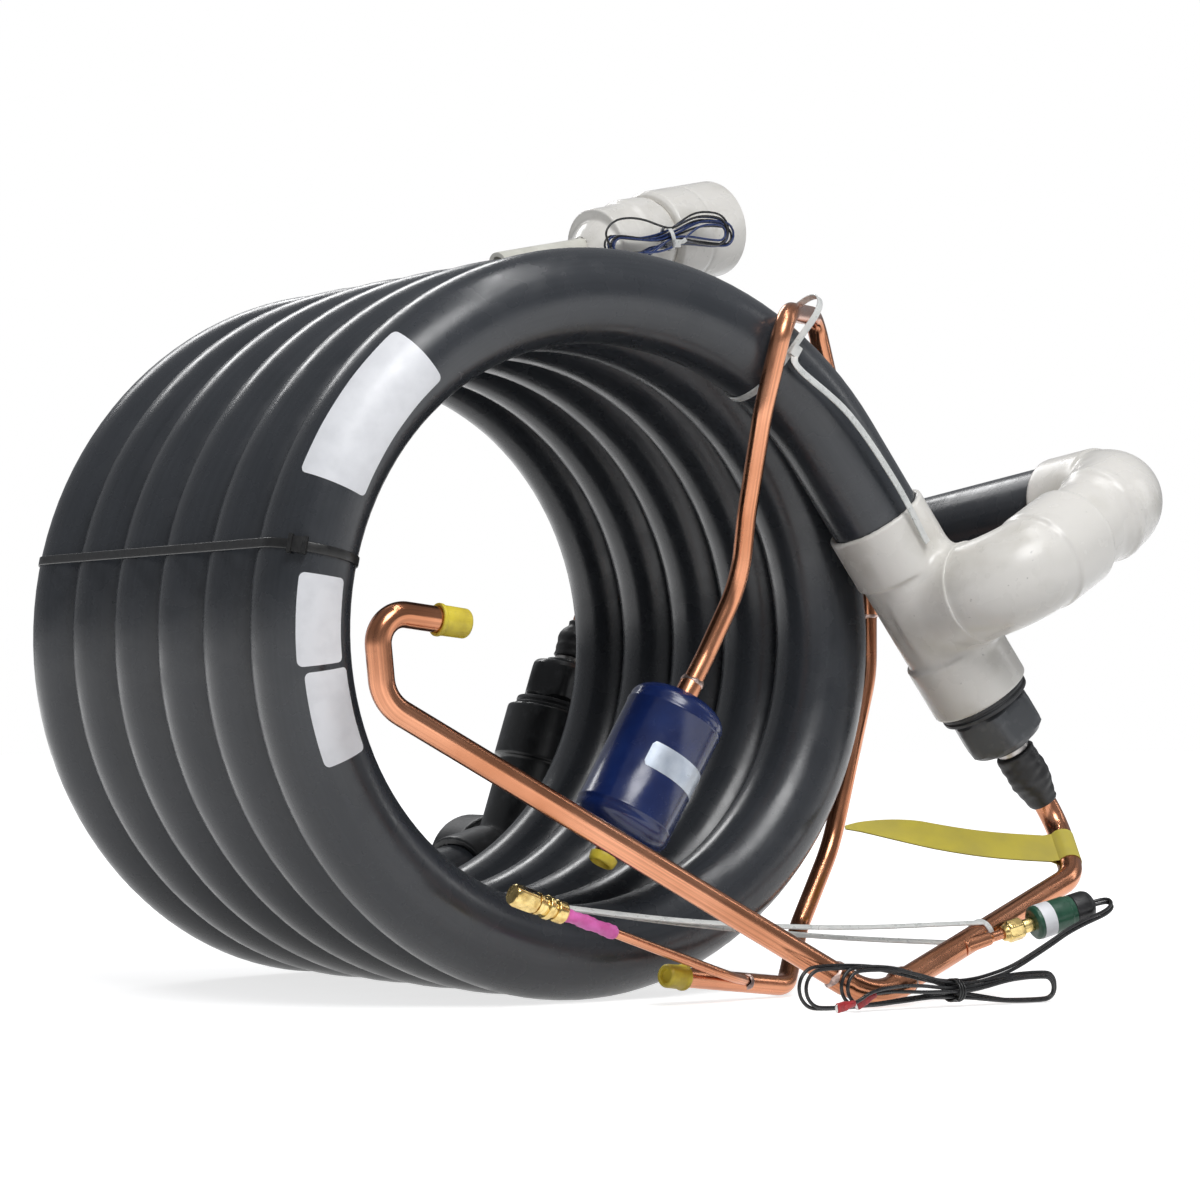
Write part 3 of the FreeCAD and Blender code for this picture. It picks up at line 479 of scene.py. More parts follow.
def lathed(origin, along, outline, sides=48):
    """Points and faces of a solid of revolution from a closed outline of (distance, radius)."""
    along = along.normalized()
    side = square_to(along, SIDE_HINT)
    other = along.cross(side)
    vertices = []
    rows = []
    for distance, out in outline:
        if out < 0.001:
            rows.append([len(vertices)] * sides)
            vertices.append(origin + along * distance)
            continue
        rows.append(list(range(len(vertices), len(vertices) + sides)))
        centre = origin + along * distance
        for index in range(sides):
            vertices.append(centre + spoke(side, other, 2 * math.pi * index / sides) * out)
    faces = []
    for row, following in zip(rows, rows[1:] + rows[:1]):
        for index in range(sides):
            after = (index + 1) % sides
            corners = [row[index], row[after], following[after], following[index]]
            face = tuple(dict.fromkeys(corners))
            if len(face) > 2:
                faces.append(face)
    return vertices, faces


def joined(*parts):
    """Several sets of points and faces as one."""
    vertices = []
    faces = []
    for points, polygons in parts:
        base = len(vertices)
        vertices += points
        faces += [tuple(base + index for index in polygon) for polygon in polygons]
    return vertices, faces


def turned_part(origin, along, outline, ease, sides):
    return lathed(origin, along, eased(outline, ease), sides)


def lathe(name, node, origin, along, outline, finish, slot, sides=48, ease=0.4, sharp=40.0, heat=None):
    vertices, faces = turned_part(origin, along, outline, ease, sides)
    return piece(name, node, vertices, faces, finish, slot, sharp, heat)


def hex_solid(origin, along, length, flats, rim=0.6):
    """Points and faces of a hexagonal nut whose corners are turned off at both ends."""
    along = along.normalized()
    side = along.cross(BACK).normalized()
    other = along.cross(side)
    corner = flats / math.sqrt(3)
    sides = 96
    levels = 9
    vertices = []
    for level in range(levels + 1):
        distance = length * (0.5 - 0.5 * math.cos(math.pi * level / levels))
        inset = min(distance, length - distance)
        limit = corner - max(0.0, corner - flats / 2 + rim - inset)
        for index in range(sides):
            turn = 2 * math.pi * index / sides
            within_flat = (math.degrees(turn) % 60) - 30
            out = min(flats / 2 / math.cos(math.radians(within_flat)), limit, corner - rim * 0.6)
            vertices.append(origin + along * distance + spoke(side, other, turn) * out)
    return vertices, closed_skin(levels + 1, sides)


def ribbon_solid(line, wide_lines, width, thickness):
    """A flat strip along a line, with eased edges. wide_lines gives the way across it at each point."""
    section = [(-0.5, 0), (-0.46, -0.4), (-0.4, -0.5), (0.4, -0.5), (0.46, -0.4), (0.5, 0),
               (0.46, 0.4), (0.4, 0.5), (-0.4, 0.5), (-0.46, 0.4)]
    vertices = []
    for place, way, wide in zip(line, directions(line), wide_lines):
        across = square_to(way, wide)
        thin = way.cross(across)
        for u, v in section:
            vertices.append(place + across * (u * width) + thin * (v * thickness))
    return vertices, closed_skin(len(line), len(section))


def curve_through(points):
    """A smooth line through a few points, with eight steps between two of them."""
    steps = 8
    line = []
    ends = [points[0] * 2 - points[1]] + points + [points[-1] * 2 - points[-2]]
    for index in range(1, len(ends) - 2):
        a, b, c, d = ends[index - 1:index + 3]
        for step in range(steps):
            t = step / steps
            square = a * 2 - b * 5 + c * 4 - d
            cube = b * 3 - a - c * 3 + d
            line.append((b * 2 + (c - a) * t + square * t ** 2 + cube * t ** 3) / 2)
    line.append(points[-1].copy())
    return line


# Moulded fittings, drawn as distance fields and meshed on a grid


def rod_field(p, start, end, radius, ease=1.5):
    """Distance from a cylinder with rounded rims."""
    start = np.array(start)
    axis = np.array(end) - start
    length = np.linalg.norm(axis)
    axis = axis / length
    rel = p - start
    along = rel @ axis
    out = np.linalg.norm(rel - along[:, None] * axis, axis=1)
    dx = out - (radius - ease)
    dy = np.abs(along - length / 2) - (length / 2 - ease)
    return np.hypot(np.maximum(dx, 0), np.maximum(dy, 0)) + np.minimum(np.maximum(dx, dy), 0) - ease


def bend_field(p, corner, inlet, outlet, bend, radius):
    """Distance from a rod bent round a corner on an arc."""
    corner = np.array(corner)
    first = np.array(inlet)
    second = np.array(outlet)
    half = inlet.angle(outlet) / 2
    mid = first + second
    mid = mid / np.linalg.norm(mid)
    across = second - first
    across = across / np.linalg.norm(across)
    rel = p - (corner + mid * bend / math.sin(half))
    x = rel @ -mid
    y = rel @ across
    z = rel @ np.cross(mid, across)
    limit = math.pi / 2 - half
    angle = np.clip(np.arctan2(y, x), -limit, limit)
    spot = np.stack([x - bend * np.cos(angle), y - bend * np.sin(angle), z], 1)
    return np.linalg.norm(spot, axis=1) - radius


def blend_union(first, second, radius):
    """The union of two fields with a fillet in the corner between them."""
    h = np.clip(0.5 + 0.5 * (second - first) / radius, 0, 1)
    return second + (first - second) * h - radius * h * (1 - h)


def rods_on(p, start, line):
    """A short way to the fields of rods that lie on one line, between distances from its start."""
    def rod(low, high, radius, ease=1.5):
        return rod_field(p, start + line * low, start + line * high, radius, ease)

    return rod


def net(field, origin, axes, low, high, step):
    """Points and quads of the surface where a field is zero, on a grid along the given axes."""
    counts = [int(math.ceil((high[i] - low[i]) / step)) + 1 for i in range(3)]
    marks = [low[i] + step * np.arange(counts[i]) for i in range(3)]
    grid = np.stack(np.meshgrid(*marks, indexing="ij"), -1)
    basis = np.array([list(axis) for axis in axes])
    base = np.array(list(origin))
    flat = grid.reshape(-1, 3)
    values = np.concatenate([field(part @ basis + base) for part in np.array_split(flat, 8)])
    values = values.reshape(counts)
    inside = values < 0
    total = np.zeros([count - 1 for count in counts], int)
    corners = [(i, j, k) for i in (0, 1) for j in (0, 1) for k in (0, 1)]

    def cell(array, corner):
        i, j, k = corner
        return array[i:counts[0] - 1 + i, j:counts[1] - 1 + j, k:counts[2] - 1 + k]

    for corner in corners:
        total += cell(inside, corner)
    active = (total > 0) & (total < 8)
    cells = np.argwhere(active)
    number = -np.ones(total.shape, int)
    number[active] = np.arange(len(cells))
    place = np.zeros((len(cells), 3))
    crossings = np.zeros(len(cells))
    for first in corners:
        for axis in range(3):
            if first[axis]:
                continue
            second = list(first)
            second[axis] = 1
            a = cell(values, first)[active]
            b = cell(values, tuple(second))[active]
            cut = (a < 0) != (b < 0)
            t = np.where(cut, a / np.where(cut, a - b, 1), 0)
            spot = np.array(first, float)[None, :].repeat(len(cells), 0)
            spot[:, axis] = t
            place += spot * cut[:, None]
            crossings += cut
    place = (cells + place / crossings[:, None]) * step + np.array(low)
    points = place @ basis + base
    nudge = 0.05
    for _ in range(4):
        here = field(points)
        slope = np.stack([
            (field(points + np.eye(3)[i] * nudge) - field(points - np.eye(3)[i] * nudge)) / (2 * nudge)
            for i in range(3)
        ], 1)
        size = np.maximum((slope ** 2).sum(1), 0.25)
        move = slope * (here / size)[:, None]
        points = points - np.clip(move, -step / 2, step / 2)
    faces = []
    for axis in range(3):
        one, two = [other for other in range(3) if other != axis]
        low_side = [slice(None)] * 3
        high_side = [slice(None)] * 3
        low_side[axis] = slice(0, -1)
        high_side[axis] = slice(1, None)
        a = inside[tuple(low_side)]
        b = inside[tuple(high_side)]
        for spot in np.argwhere(a != b):
            if spot[one] < 1 or spot[two] < 1:
                continue
            if spot[one] >= counts[one] - 1 or spot[two] >= counts[two] - 1:
                continue
            ring = []
            for back_one, back_two in ((1, 1), (0, 1), (0, 0), (1, 0)):
                index = list(spot)
                index[one] -= back_one
                index[two] -= back_two
                ring.append(int(number[tuple(index)]))
            faces.append(tuple(ring))
    return [V(point) for point in points.tolist()], faces


def moulded(name, node, field, origin, axes, low, high, finish, slot):
    vertices, faces = net(field, origin, axes, low, high, step=1.5)
    piece(name, node, vertices, faces, finish, slot, sharp=55.0)


# Materials


class Finish:
    """A short way to put shader nodes together."""

    def __init__(self, name, colour, roughness, metallic=0.0):
        self.material = bpy.data.materials.new(name)
        self.material.use_nodes = True
        self.tree = self.material.node_tree
        self.shader = self.tree.nodes["Principled BSDF"]
        self.shader.inputs["Base Color"].default_value = (*colour, 1)
        self.shader.inputs["Roughness"].default_value = roughness
        self.shader.inputs["Metallic"].default_value = metallic
        self.place = self.node("ShaderNodeTexCoord").outputs["Object"]

    def node(self, kind, **inputs):
        made = self.tree.nodes.new(kind)
        for key, value in inputs.items():
            made.inputs[key.replace("_", " ")].default_value = value
        return made

    def link(self, start, end):
        self.tree.links.new(start, end)

    def noise(self, scale, detail=4.0, stretch=None, source=None):
        """Noise with its scale in features per metre, stretched where stretch is given."""
        made = self.node("ShaderNodeTexNoise", Scale=scale, Detail=detail)
        place = source or self.place
        if stretch is not None:
            mapping = self.node("ShaderNodeMapping", Scale=stretch)
            self.link(place, mapping.inputs["Vector"])
            place = mapping.outputs["Vector"]
        self.link(place, made.inputs["Vector"])
        return made.outputs["Fac"]

    def uv(self):
        return self.node("ShaderNodeTexCoord").outputs["UV"]

    def band(self, source, low, high, start=0.0, end=1.0):
        """source between low and high, spread from start to end."""
        made = self.node("ShaderNodeMapRange", From_Min=low, From_Max=high, To_Min=start, To_Max=end)
        self.link(source, made.inputs["Value"])
        return made.outputs["Result"]

    def combined(self, first, second, kind="MULTIPLY"):
        """The product of two values, or their sum, kept between 0 and 1."""
        made = self.node("ShaderNodeMath")
        made.operation = kind
        made.use_clamp = True
        self.link(first, made.inputs[0])
        self.link(second, made.inputs[1])
        return made.outputs["Value"]

    def blend(self, factor, first, second):
        """A colour between first and second, each a colour or a socket."""
        made = self.node("ShaderNodeMix")
        made.data_type = "RGBA"
        self.link(factor, made.inputs["Factor"])
        for socket, value in ((made.inputs[6], first), (made.inputs[7], second)):
            if isinstance(value, tuple):
                socket.default_value = (*value, 1)
            else:
                self.link(value, socket)
        return made.outputs[2]

    def colour_from(self, socket):
        self.link(socket, self.shader.inputs["Base Color"])

    def roughness_from(self, socket):
        self.link(socket, self.shader.inputs["Roughness"])

    def mottle(self, scale, detail, low, high, first, second):
        """Patches of a second colour, where the noise is above low."""
        self.colour_from(self.blend(self.band(self.noise(scale, detail), low, high), first, second))

    def gloss(self, scale, least, most, detail=4.0, high=0.7):
        """A roughness that wanders from least to most."""
        self.roughness_from(self.band(self.noise(scale, detail), 0.3, high, least, most))

    def grain(self, scale, distance, strength, detail=4.0):
        """A fine unevenness of the surface, with its depth in metres."""
        made = self.node("ShaderNodeBump", Strength=strength, Distance=distance)
        self.link(self.noise(scale, detail), made.inputs["Height"])
        self.link(made.outputs["Normal"], self.shader.inputs["Normal"])

    def see_in(self, weight, radius):
        """Light that scatters below the surface."""
        self.shader.inputs["Subsurface Weight"].default_value = weight
        self.shader.inputs["Subsurface Radius"].default_value = radius

    def heat(self):
        made = self.node("ShaderNodeAttribute")
        made.attribute_name = "heat"
        return made.outputs["Fac"]


def hose_plastic():
    """Smooth extruded grey plastic with faint lengthwise streaks and a little dust."""
    dark = (0.026, 0.029, 0.034)
    light = (0.042, 0.046, 0.053)
    f = Finish("hose_plastic", dark, 0.3)
    cloud = f.noise(9.0, 5.0)
    streak = f.noise(1.0, 3.0, stretch=(2.0, 60.0, 1.0), source=f.uv())
    mix = f.combined(f.band(cloud, 0.3, 0.7, 0.0, 0.75), f.band(streak, 0.35, 0.7, 0.0, 0.4), "ADD")
    f.colour_from(f.blend(mix, dark, light))
    f.gloss(55.0, 0.2, 0.36, 6.0, 0.75)
    f.grain(420.0, 0.00006, 0.6, 3.0)
    return f.material


def white_plastic():
    """Moulded white pipe fittings with smudges and a trace of glue."""
    f = Finish("white_plastic", (0.76, 0.74, 0.70), 0.26)
    smudge = f.band(f.noise(26.0, 7.0), 0.52, 0.78)
    pale = f.blend(smudge, (0.76, 0.74, 0.70), (0.60, 0.58, 0.53))
    fleck = f.band(f.noise(210.0, 2.0), 0.72, 0.80)
    f.colour_from(f.blend(fleck, pale, (0.45, 0.44, 0.41)))
    f.gloss(40.0, 0.19, 0.34, 5.0)
    f.grain(300.0, 0.00008, 0.5)
    f.see_in(0.06, (0.003, 0.003, 0.0025))
    return f.material


def cream_plastic():
    f = Finish("cream_plastic", (0.70, 0.69, 0.62), 0.3)
    f.mottle(35.0, 6.0, 0.4, 0.75, (0.72, 0.71, 0.64), (0.55, 0.54, 0.48))
    f.gloss(60.0, 0.22, 0.38)
    f.grain(300.0, 0.00006, 0.5)
    return f.material


def grey_plastic(name, dark, light, rough):
    """Moulded grey plastic with lighter scuffs in random patches."""
    f = Finish(name, dark, rough)
    f.mottle(95.0, 8.0, 0.55, 0.75, dark, light)
    f.gloss(120.0, rough - 0.08, rough + 0.12, 6.0, 0.75)
    f.grain(380.0, 0.0001, 0.6, 5.0)
    return f.material


def black_wrap():
    """Sealing wrap drawn tight over a joint."""
    f = Finish("black_wrap", (0.012, 0.012, 0.013), 0.55)
    f.mottle(70.0, 6.0, 0.45, 0.75, (0.010, 0.010, 0.011), (0.028, 0.028, 0.030))
    f.gloss(90.0, 0.35, 0.65, 6.0, 0.75)
    f.grain(240.0, 0.0004, 0.7, 6.0)
    return f.material


def copper():
    """Drawn copper tube: handled, a little tarnished, and coloured by the flame near its joints."""
    f = Finish("copper", (0.70, 0.32, 0.18), 0.22, 1.0)
    bright = f.blend(f.band(f.noise(14.0, 6.0), 0.35, 0.7), (0.73, 0.34, 0.20), (0.50, 0.20, 0.10))
    streak = f.noise(1.0, 4.0, stretch=(6.0, 26.0, 1.0), source=f.uv())
    bright = f.blend(f.band(streak, 0.45, 0.7, 0.0, 0.7), bright, (0.30, 0.125, 0.07))
    mottle = f.noise(85.0, 6.0)
    heat = f.heat()
    warm = f.combined(f.band(heat, 0.05, 0.55), f.band(mottle, 0.3, 0.6, 0.45, 1.0))
    tinted = f.blend(warm, bright, (0.72, 0.20, 0.10))
    pink = f.combined(f.band(heat, 0.3, 0.75), f.band(mottle, 0.4, 0.56))
    tinted = f.blend(pink, tinted, (0.66, 0.47, 0.44))
    soot = f.combined(f.band(heat, 0.35, 0.8), f.band(f.noise(120.0, 7.0), 0.56, 0.68))
    tinted = f.blend(soot, tinted, (0.09, 0.06, 0.06))
    f.colour_from(tinted)
    base = f.band(f.noise(40.0, 6.0), 0.3, 0.75, 0.17, 0.32)
    f.roughness_from(f.combined(base, f.band(heat, 0.2, 0.8, 0.0, 0.3), "ADD"))
    f.grain(90.0, 0.00005, 0.5)
    return f.material


def solder():
    """Brazing alloy: dull silver pink, run out unevenly."""
    f = Finish("solder", (0.62, 0.47, 0.42), 0.42, 0.85)
    f.mottle(150.0, 6.0, 0.4, 0.62, (0.70, 0.52, 0.46), (0.22, 0.17, 0.16))
    f.gloss(200.0, 0.3, 0.55)
    f.grain(260.0, 0.0003, 0.8, 6.0)
    return f.material


def titanium():
    f = Finish("titanium", (0.46, 0.44, 0.42), 0.36, 1.0)
    f.mottle(60.0, 6.0, 0.4, 0.7, (0.50, 0.48, 0.46), (0.38, 0.36, 0.35))
    f.gloss(130.0, 0.3, 0.46)
    f.grain(500.0, 0.00005, 0.5)
    return f.material


def tin():
    """Tinned brass, bright and finely scratched."""
    f = Finish("tin", (0.62, 0.62, 0.60), 0.3, 1.0)
    f.mottle(300.0, 5.0, 0.4, 0.7, (0.66, 0.66, 0.64), (0.46, 0.45, 0.42))
    f.gloss(420.0, 0.22, 0.4)
    f.grain(900.0, 0.00003, 0.5)
    return f.material


def brass():
    """Turned brass, bright with browned patches."""
    f = Finish("brass", (0.80, 0.58, 0.22), 0.24, 1.0)
    f.mottle(150.0, 5.0, 0.42, 0.7, (0.86, 0.66, 0.28), (0.50, 0.33, 0.11))
    f.gloss(220.0, 0.17, 0.34)
    f.grain(600.0, 0.00005, 0.5)
    return f.material


def yellow_plastic():
    f = Finish("yellow_plastic", (0.78, 0.66, 0.04), 0.42)
    f.mottle(130.0, 5.0, 0.4, 0.75, (0.72, 0.58, 0.05), (0.50, 0.38, 0.04))
    f.gloss(200.0, 0.34, 0.5)
    f.grain(350.0, 0.0001, 0.6)
    return f.material


def tag_vinyl():
    """A thin yellow tag, faded in patches."""
    f = Finish("tag_vinyl", (0.60, 0.50, 0.07), 0.4)
    f.mottle(40.0, 6.0, 0.4, 0.8, (0.62, 0.52, 0.075), (0.50, 0.42, 0.09))
    f.gloss(90.0, 0.33, 0.48)
    f.grain(260.0, 0.00006, 0.5)
    return f.material


def label_paper():
    """Coated white label stock, faintly grey where it has been handled."""
    f = Finish("label_paper", (0.80, 0.81, 0.84), 0.38)
    f.mottle(60.0, 6.0, 0.45, 0.8, (0.82, 0.83, 0.86), (0.70, 0.71, 0.74))
    f.gloss(130.0, 0.3, 0.45)
    f.grain(190.0, 0.00007, 0.6)
    return f.material


def silver_label():
    f = Finish("silver_label", (0.52, 0.58, 0.66), 0.34, 0.35)
    f.mottle(120.0, 5.0, 0.4, 0.75, (0.56, 0.62, 0.70), (0.42, 0.48, 0.57))
    f.gloss(180.0, 0.26, 0.42)
    f.grain(400.0, 0.00005, 0.5)
    return f.material


def blue_paint():
    """Gloss blue paint on spun steel."""
    f = Finish("blue_paint", (0.006, 0.017, 0.09), 0.22)
    f.mottle(50.0, 6.0, 0.35, 0.75, (0.005, 0.014, 0.08), (0.009, 0.025, 0.12))
    f.gloss(90.0, 0.17, 0.3)
    f.grain(330.0, 0.00012, 0.6, 3.0)
    f.shader.inputs["Coat Weight"].default_value = 0.2
    f.shader.inputs["Coat Roughness"].default_value = 0.12
    return f.material


def drier_fill():
    f = Finish("drier_fill", (0.55, 0.50, 0.42), 0.8)
    f.mottle(300.0, 6.0, 0.4, 0.7, (0.60, 0.55, 0.46), (0.40, 0.36, 0.30))
    f.grain(500.0, 0.0005, 1.0, 6.0)
    return f.material


def green_plastic():
    f = Finish("green_plastic", (0.012, 0.075, 0.042), 0.34)
    f.mottle(180.0, 5.0, 0.4, 0.75, (0.010, 0.066, 0.036), (0.030, 0.11, 0.065))
    f.gloss(200.0, 0.26, 0.42)
    f.grain(450.0, 0.0001, 0.6)
    return f.material


def black_rubber(name, colour, rough):
    f = Finish(name, colour, rough)
    f.mottle(160.0, 6.0, 0.45, 0.8, colour, tuple(channel * 2.4 for channel in colour))
    f.gloss(250.0, rough - 0.08, rough + 0.1)
    f.grain(600.0, 0.00005, 0.6)
    return f.material


def wire_cover(name, colour):
    """The glossy plastic cover of a thin wire."""
    f = Finish(name, colour, 0.3)
    f.mottle(240.0, 5.0, 0.4, 0.75, colour, tuple(channel * 1.7 + 0.004 for channel in colour))
    f.gloss(320.0, 0.22, 0.4)
    f.grain(900.0, 0.00004, 0.6)
    return f.material


def red_plastic():
    f = Finish("red_plastic", (0.46, 0.03, 0.035), 0.3)
    f.mottle(260.0, 5.0, 0.4, 0.75, (0.50, 0.035, 0.04), (0.30, 0.02, 0.025))
    f.gloss(300.0, 0.22, 0.4)
    f.grain(500.0, 0.00008, 0.6)
    f.see_in(0.2, (0.004, 0.001, 0.001))
    return f.material


def pink_tape():
    f = Finish("pink_tape", (0.88, 0.16, 0.58), 0.36)
    f.mottle(150.0, 5.0, 0.4, 0.75, (0.92, 0.20, 0.62), (0.74, 0.10, 0.40))
    f.gloss(200.0, 0.28, 0.46)
    f.grain(300.0, 0.0002, 0.8, 5.0)
    return f.material


def nylon():
    """Undyed nylon: pale, waxy, and a little see-through."""
    f = Finish("nylon", (0.78, 0.79, 0.77), 0.32)
    f.mottle(160.0, 5.0, 0.4, 0.75, (0.80, 0.81, 0.79), (0.66, 0.68, 0.67))
    f.gloss(240.0, 0.24, 0.4)
    f.grain(500.0, 0.00006, 0.6)
    f.see_in(0.25, (0.002, 0.002, 0.002))
    f.shader.inputs["Transmission Weight"].default_value = 0.18
    return f.material


HOSE = hose_plastic()
WHITE = white_plastic()
CREAM = cream_plastic()
DARK_FITTING = grey_plastic("dark_fitting", (0.013, 0.014, 0.015), (0.045, 0.047, 0.050), 0.36)
BUSHING = grey_plastic("bushing_plastic", (0.020, 0.021, 0.023), (0.075, 0.078, 0.082), 0.5)
GLAND = grey_plastic("gland_plastic", (0.060, 0.064, 0.070), (0.105, 0.110, 0.118), 0.4)
WRAP = black_wrap()
COPPER = copper()
SOLDER = solder()
TITANIUM = titanium()
BRASS = brass()
YELLOW = yellow_plastic()
TAG = tag_vinyl()
PAPER = label_paper()
SILVER_LABEL = silver_label()
BLUE = blue_paint()
FILL = drier_fill()
GREEN = green_plastic()
RUBBER = black_rubber("black_rubber", (0.010, 0.010, 0.011), 0.38)
BLACK_WIRE = wire_cover("black_wire", (0.011, 0.011, 0.012))
BLUE_WIRE = wire_cover("blue_wire", (0.012, 0.028, 0.11))
RED = red_plastic()
PINK = pink_tape()
NYLON = nylon()
BLACK_NYLON = black_rubber("black_nylon", (0.010, 0.010, 0.010), 0.34)
TIN = tin()


def dress(node, finish):
    """Gives a CAD node that is shown as it is its finish."""
    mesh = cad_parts[node].data
    mesh.materials.clear()
    mesh.materials.append(finish)
    mesh.shade_smooth()
    mesh.set_sharp_from_angle(angle=math.radians(35))


# Hose and titanium tube


def coil_path(start, end):
    points = [start, FRONT_CORNER]
    points += [coil_corner(index) for index in range(1, COIL_ARCS + 1)]
    points += [LAST_CORNER, end]
    reaches = [HALF_EDGE] * (COIL_ARCS + 1) + [REAR_REACH]
    return rounded(points, reaches, turn_step=3.2)


def outer_hose():
    start = on_front(TEE_MOUTH + SOCKET_DEPTH - FIT)
    line = coil_path(start, REAR_CORNER - REAR_LINE * (SOCKET_LEG - REAR_DEPTH))
    hose = tube("coil_hose", None, line, HOSE_R, HOSE, "hose", sides=56, wall=HOSE_WALL)
    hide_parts(*["outer_hose_%d" % number for number in range(1, HOSE_LENGTHS + 1)])
    return line


def return_hose():
    inset = ELBOW_LEG - SOCKET_DEPTH + FIT
    run = [OUTLET_CORNER + RETURN_LINE * inset, RETURN_CORNER, TOP_CORNER - TOP_LINE * inset]
    line = rounded(run, by_radius(run, [RETURN_BEND]), turn_step=3.0)
    tube("return_pipe", "return_hose", line, HOSE_R, HOSE, "hose", sides=56, wall=HOSE_WALL)


# Fittings, glands and sleeves


def front_tee():
    def field(p):
        run = rods_on(p, FRONT_CORNER, FRONT_LINE)
        branch = rods_on(p, TEE_CENTRE, BRANCH_LINE)
        hub = SOCKET_DEPTH + 3
        hubs = np.minimum(run(TEE_MOUTH, TEE_MOUTH + hub, HUB_R), run(TEE_END - hub, TEE_END, HUB_R))
        body = blend_union(run(TEE_MOUTH + 2, TEE_END - 2, BODY_R), hubs, 2.5)
        body = blend_union(body, branch(0, BRANCH_REACH, HUB_R, 1.2), 9.0)
        bore = np.minimum.reduce([
            run(TEE_MOUTH - PAST, TEE_MOUTH + SOCKET_DEPTH, SOCKET_R, CUT_EASE),
            run(TEE_END - SOCKET_DEPTH, TEE_END + PAST, SOCKET_R, CUT_EASE),
            run(TEE_MOUTH, TEE_END, BORE_R, CUT_EASE),
            branch(0, BRANCH_REACH, BORE_R, CUT_EASE),
            branch(BRANCH_REACH - BRANCH_DEPTH, BRANCH_REACH + PAST, SOCKET_R, CUT_EASE),
        ])
        return np.maximum(body, -bore)

    axes = (FRONT_LINE, BRANCH_LINE, FRONT_LINE.cross(BRANCH_LINE))
    half = TEE_LENGTH / 2 + 3
    low = (-half, -HUB_R - 3, -HUB_R - 3)
    high = (half, BRANCH_REACH + 3, HUB_R + 3)
    moulded("white_tee", "front_tee", field, TEE_CENTRE, axes, low, high, WHITE, "white_fitting")


def elbow_neck(inlet, outlet):
    """How far from the corner an elbow's bend ends."""
    return ELBOW_BEND * math.tan((math.pi - inlet.angle(outlet)) / 2)


def white_elbow(name, node, field, corner, inlet, outlet, inlet_leg, outlet_leg):
    """The mesh of an elbow, on a grid that holds both its legs."""
    side = square_to(inlet, outlet)
    axes = (inlet, side, inlet.cross(side))
    tilt = outlet.dot(inlet) * outlet_leg
    low = (min(-HUB_R, tilt - HUB_R) - 4, -HUB_R - 4, -HUB_R - 4)
    high = (inlet_leg + 4, outlet_leg + 8, HUB_R + 4)
    moulded(name, node, field, corner, axes, low, high, WHITE, "white_fitting")


def street_elbow(name, node, corner, inlet, outlet, inlet_leg):
    """An elbow with a bare end at its inlet and a hub at its outlet."""
    neck = elbow_neck(inlet, outlet)
    body_r = STREET_OD / 2

    def field(p):
        first = rods_on(p, corner, inlet)
        last = rods_on(p, corner, outlet)
        bend = bend_field(p, corner, inlet, outlet, ELBOW_BEND, body_r)
        body = np.minimum(bend, last(neck, ELBOW_LEG - 2, body_r))
        body = blend_union(body, first(neck, neck + 6, body_r), 3.0)
        body = blend_union(body, first(neck, inlet_leg, HOSE_R, 0.8), 3.0)
        body = blend_union(body, last(ELBOW_LEG - HUB_LENGTH, ELBOW_LEG, HUB_R), 3.0)
        bore = np.minimum.reduce([
            bend_field(p, corner, inlet, outlet, ELBOW_BEND, BORE_R),
            first(neck, inlet_leg + PAST, BORE_R, CUT_EASE),
            last(neck, ELBOW_LEG + PAST, BORE_R, CUT_EASE),
            last(ELBOW_LEG - SOCKET_DEPTH, ELBOW_LEG + PAST, SOCKET_R, CUT_EASE),
        ])
        return np.maximum(body, -bore)

    white_elbow(name, node, field, corner, inlet, outlet, inlet_leg, ELBOW_LEG)


def top_elbow():
    """The elbow on the return hose's upper end, bored through behind for the sensor's port."""
    inlet = TOP_LINE * -1
    outlet = PORT_LINE
    spigot = COUPLING_START + COUPLING_DEPTH - FIT
    neck = elbow_neck(inlet, outlet)

    def field(p):
        first = rods_on(p, TOP_CORNER, inlet)
        last = rods_on(p, TOP_CORNER, outlet)
        bend = bend_field(p, TOP_CORNER, inlet, outlet, ELBOW_BEND, BODY_R)
        body = np.minimum(bend, last(neck, 50, BODY_R))
        body = blend_union(body, last(30, 57, HUB_R - 1, 3.0), 5.0)
        body = blend_union(body, last(0, spigot, HOSE_R), 1.5)
        body = blend_union(body, first(neck, ELBOW_LEG - 2, BODY_R), 2.0)
        body = blend_union(body, first(ELBOW_LEG - HUB_LENGTH, ELBOW_LEG, HUB_R), 2.5)
        bore = np.minimum.reduce([
            bend_field(p, TOP_CORNER, inlet, outlet, ELBOW_BEND, BORE_R),
            first(neck, ELBOW_LEG + PAST, BORE_R, CUT_EASE),
            last(neck, spigot + PAST, BORE_R, CUT_EASE),
            first(ELBOW_LEG - SOCKET_DEPTH, ELBOW_LEG + PAST, SOCKET_R, CUT_EASE),
            last(-40, 0, SENSOR_OD / 2 + FIT, 0.1),
        ])
        return np.maximum(body, -bore)

    white_elbow("white_top_elbow", "top_elbow", field, TOP_CORNER, inlet, outlet, ELBOW_LEG, spigot)


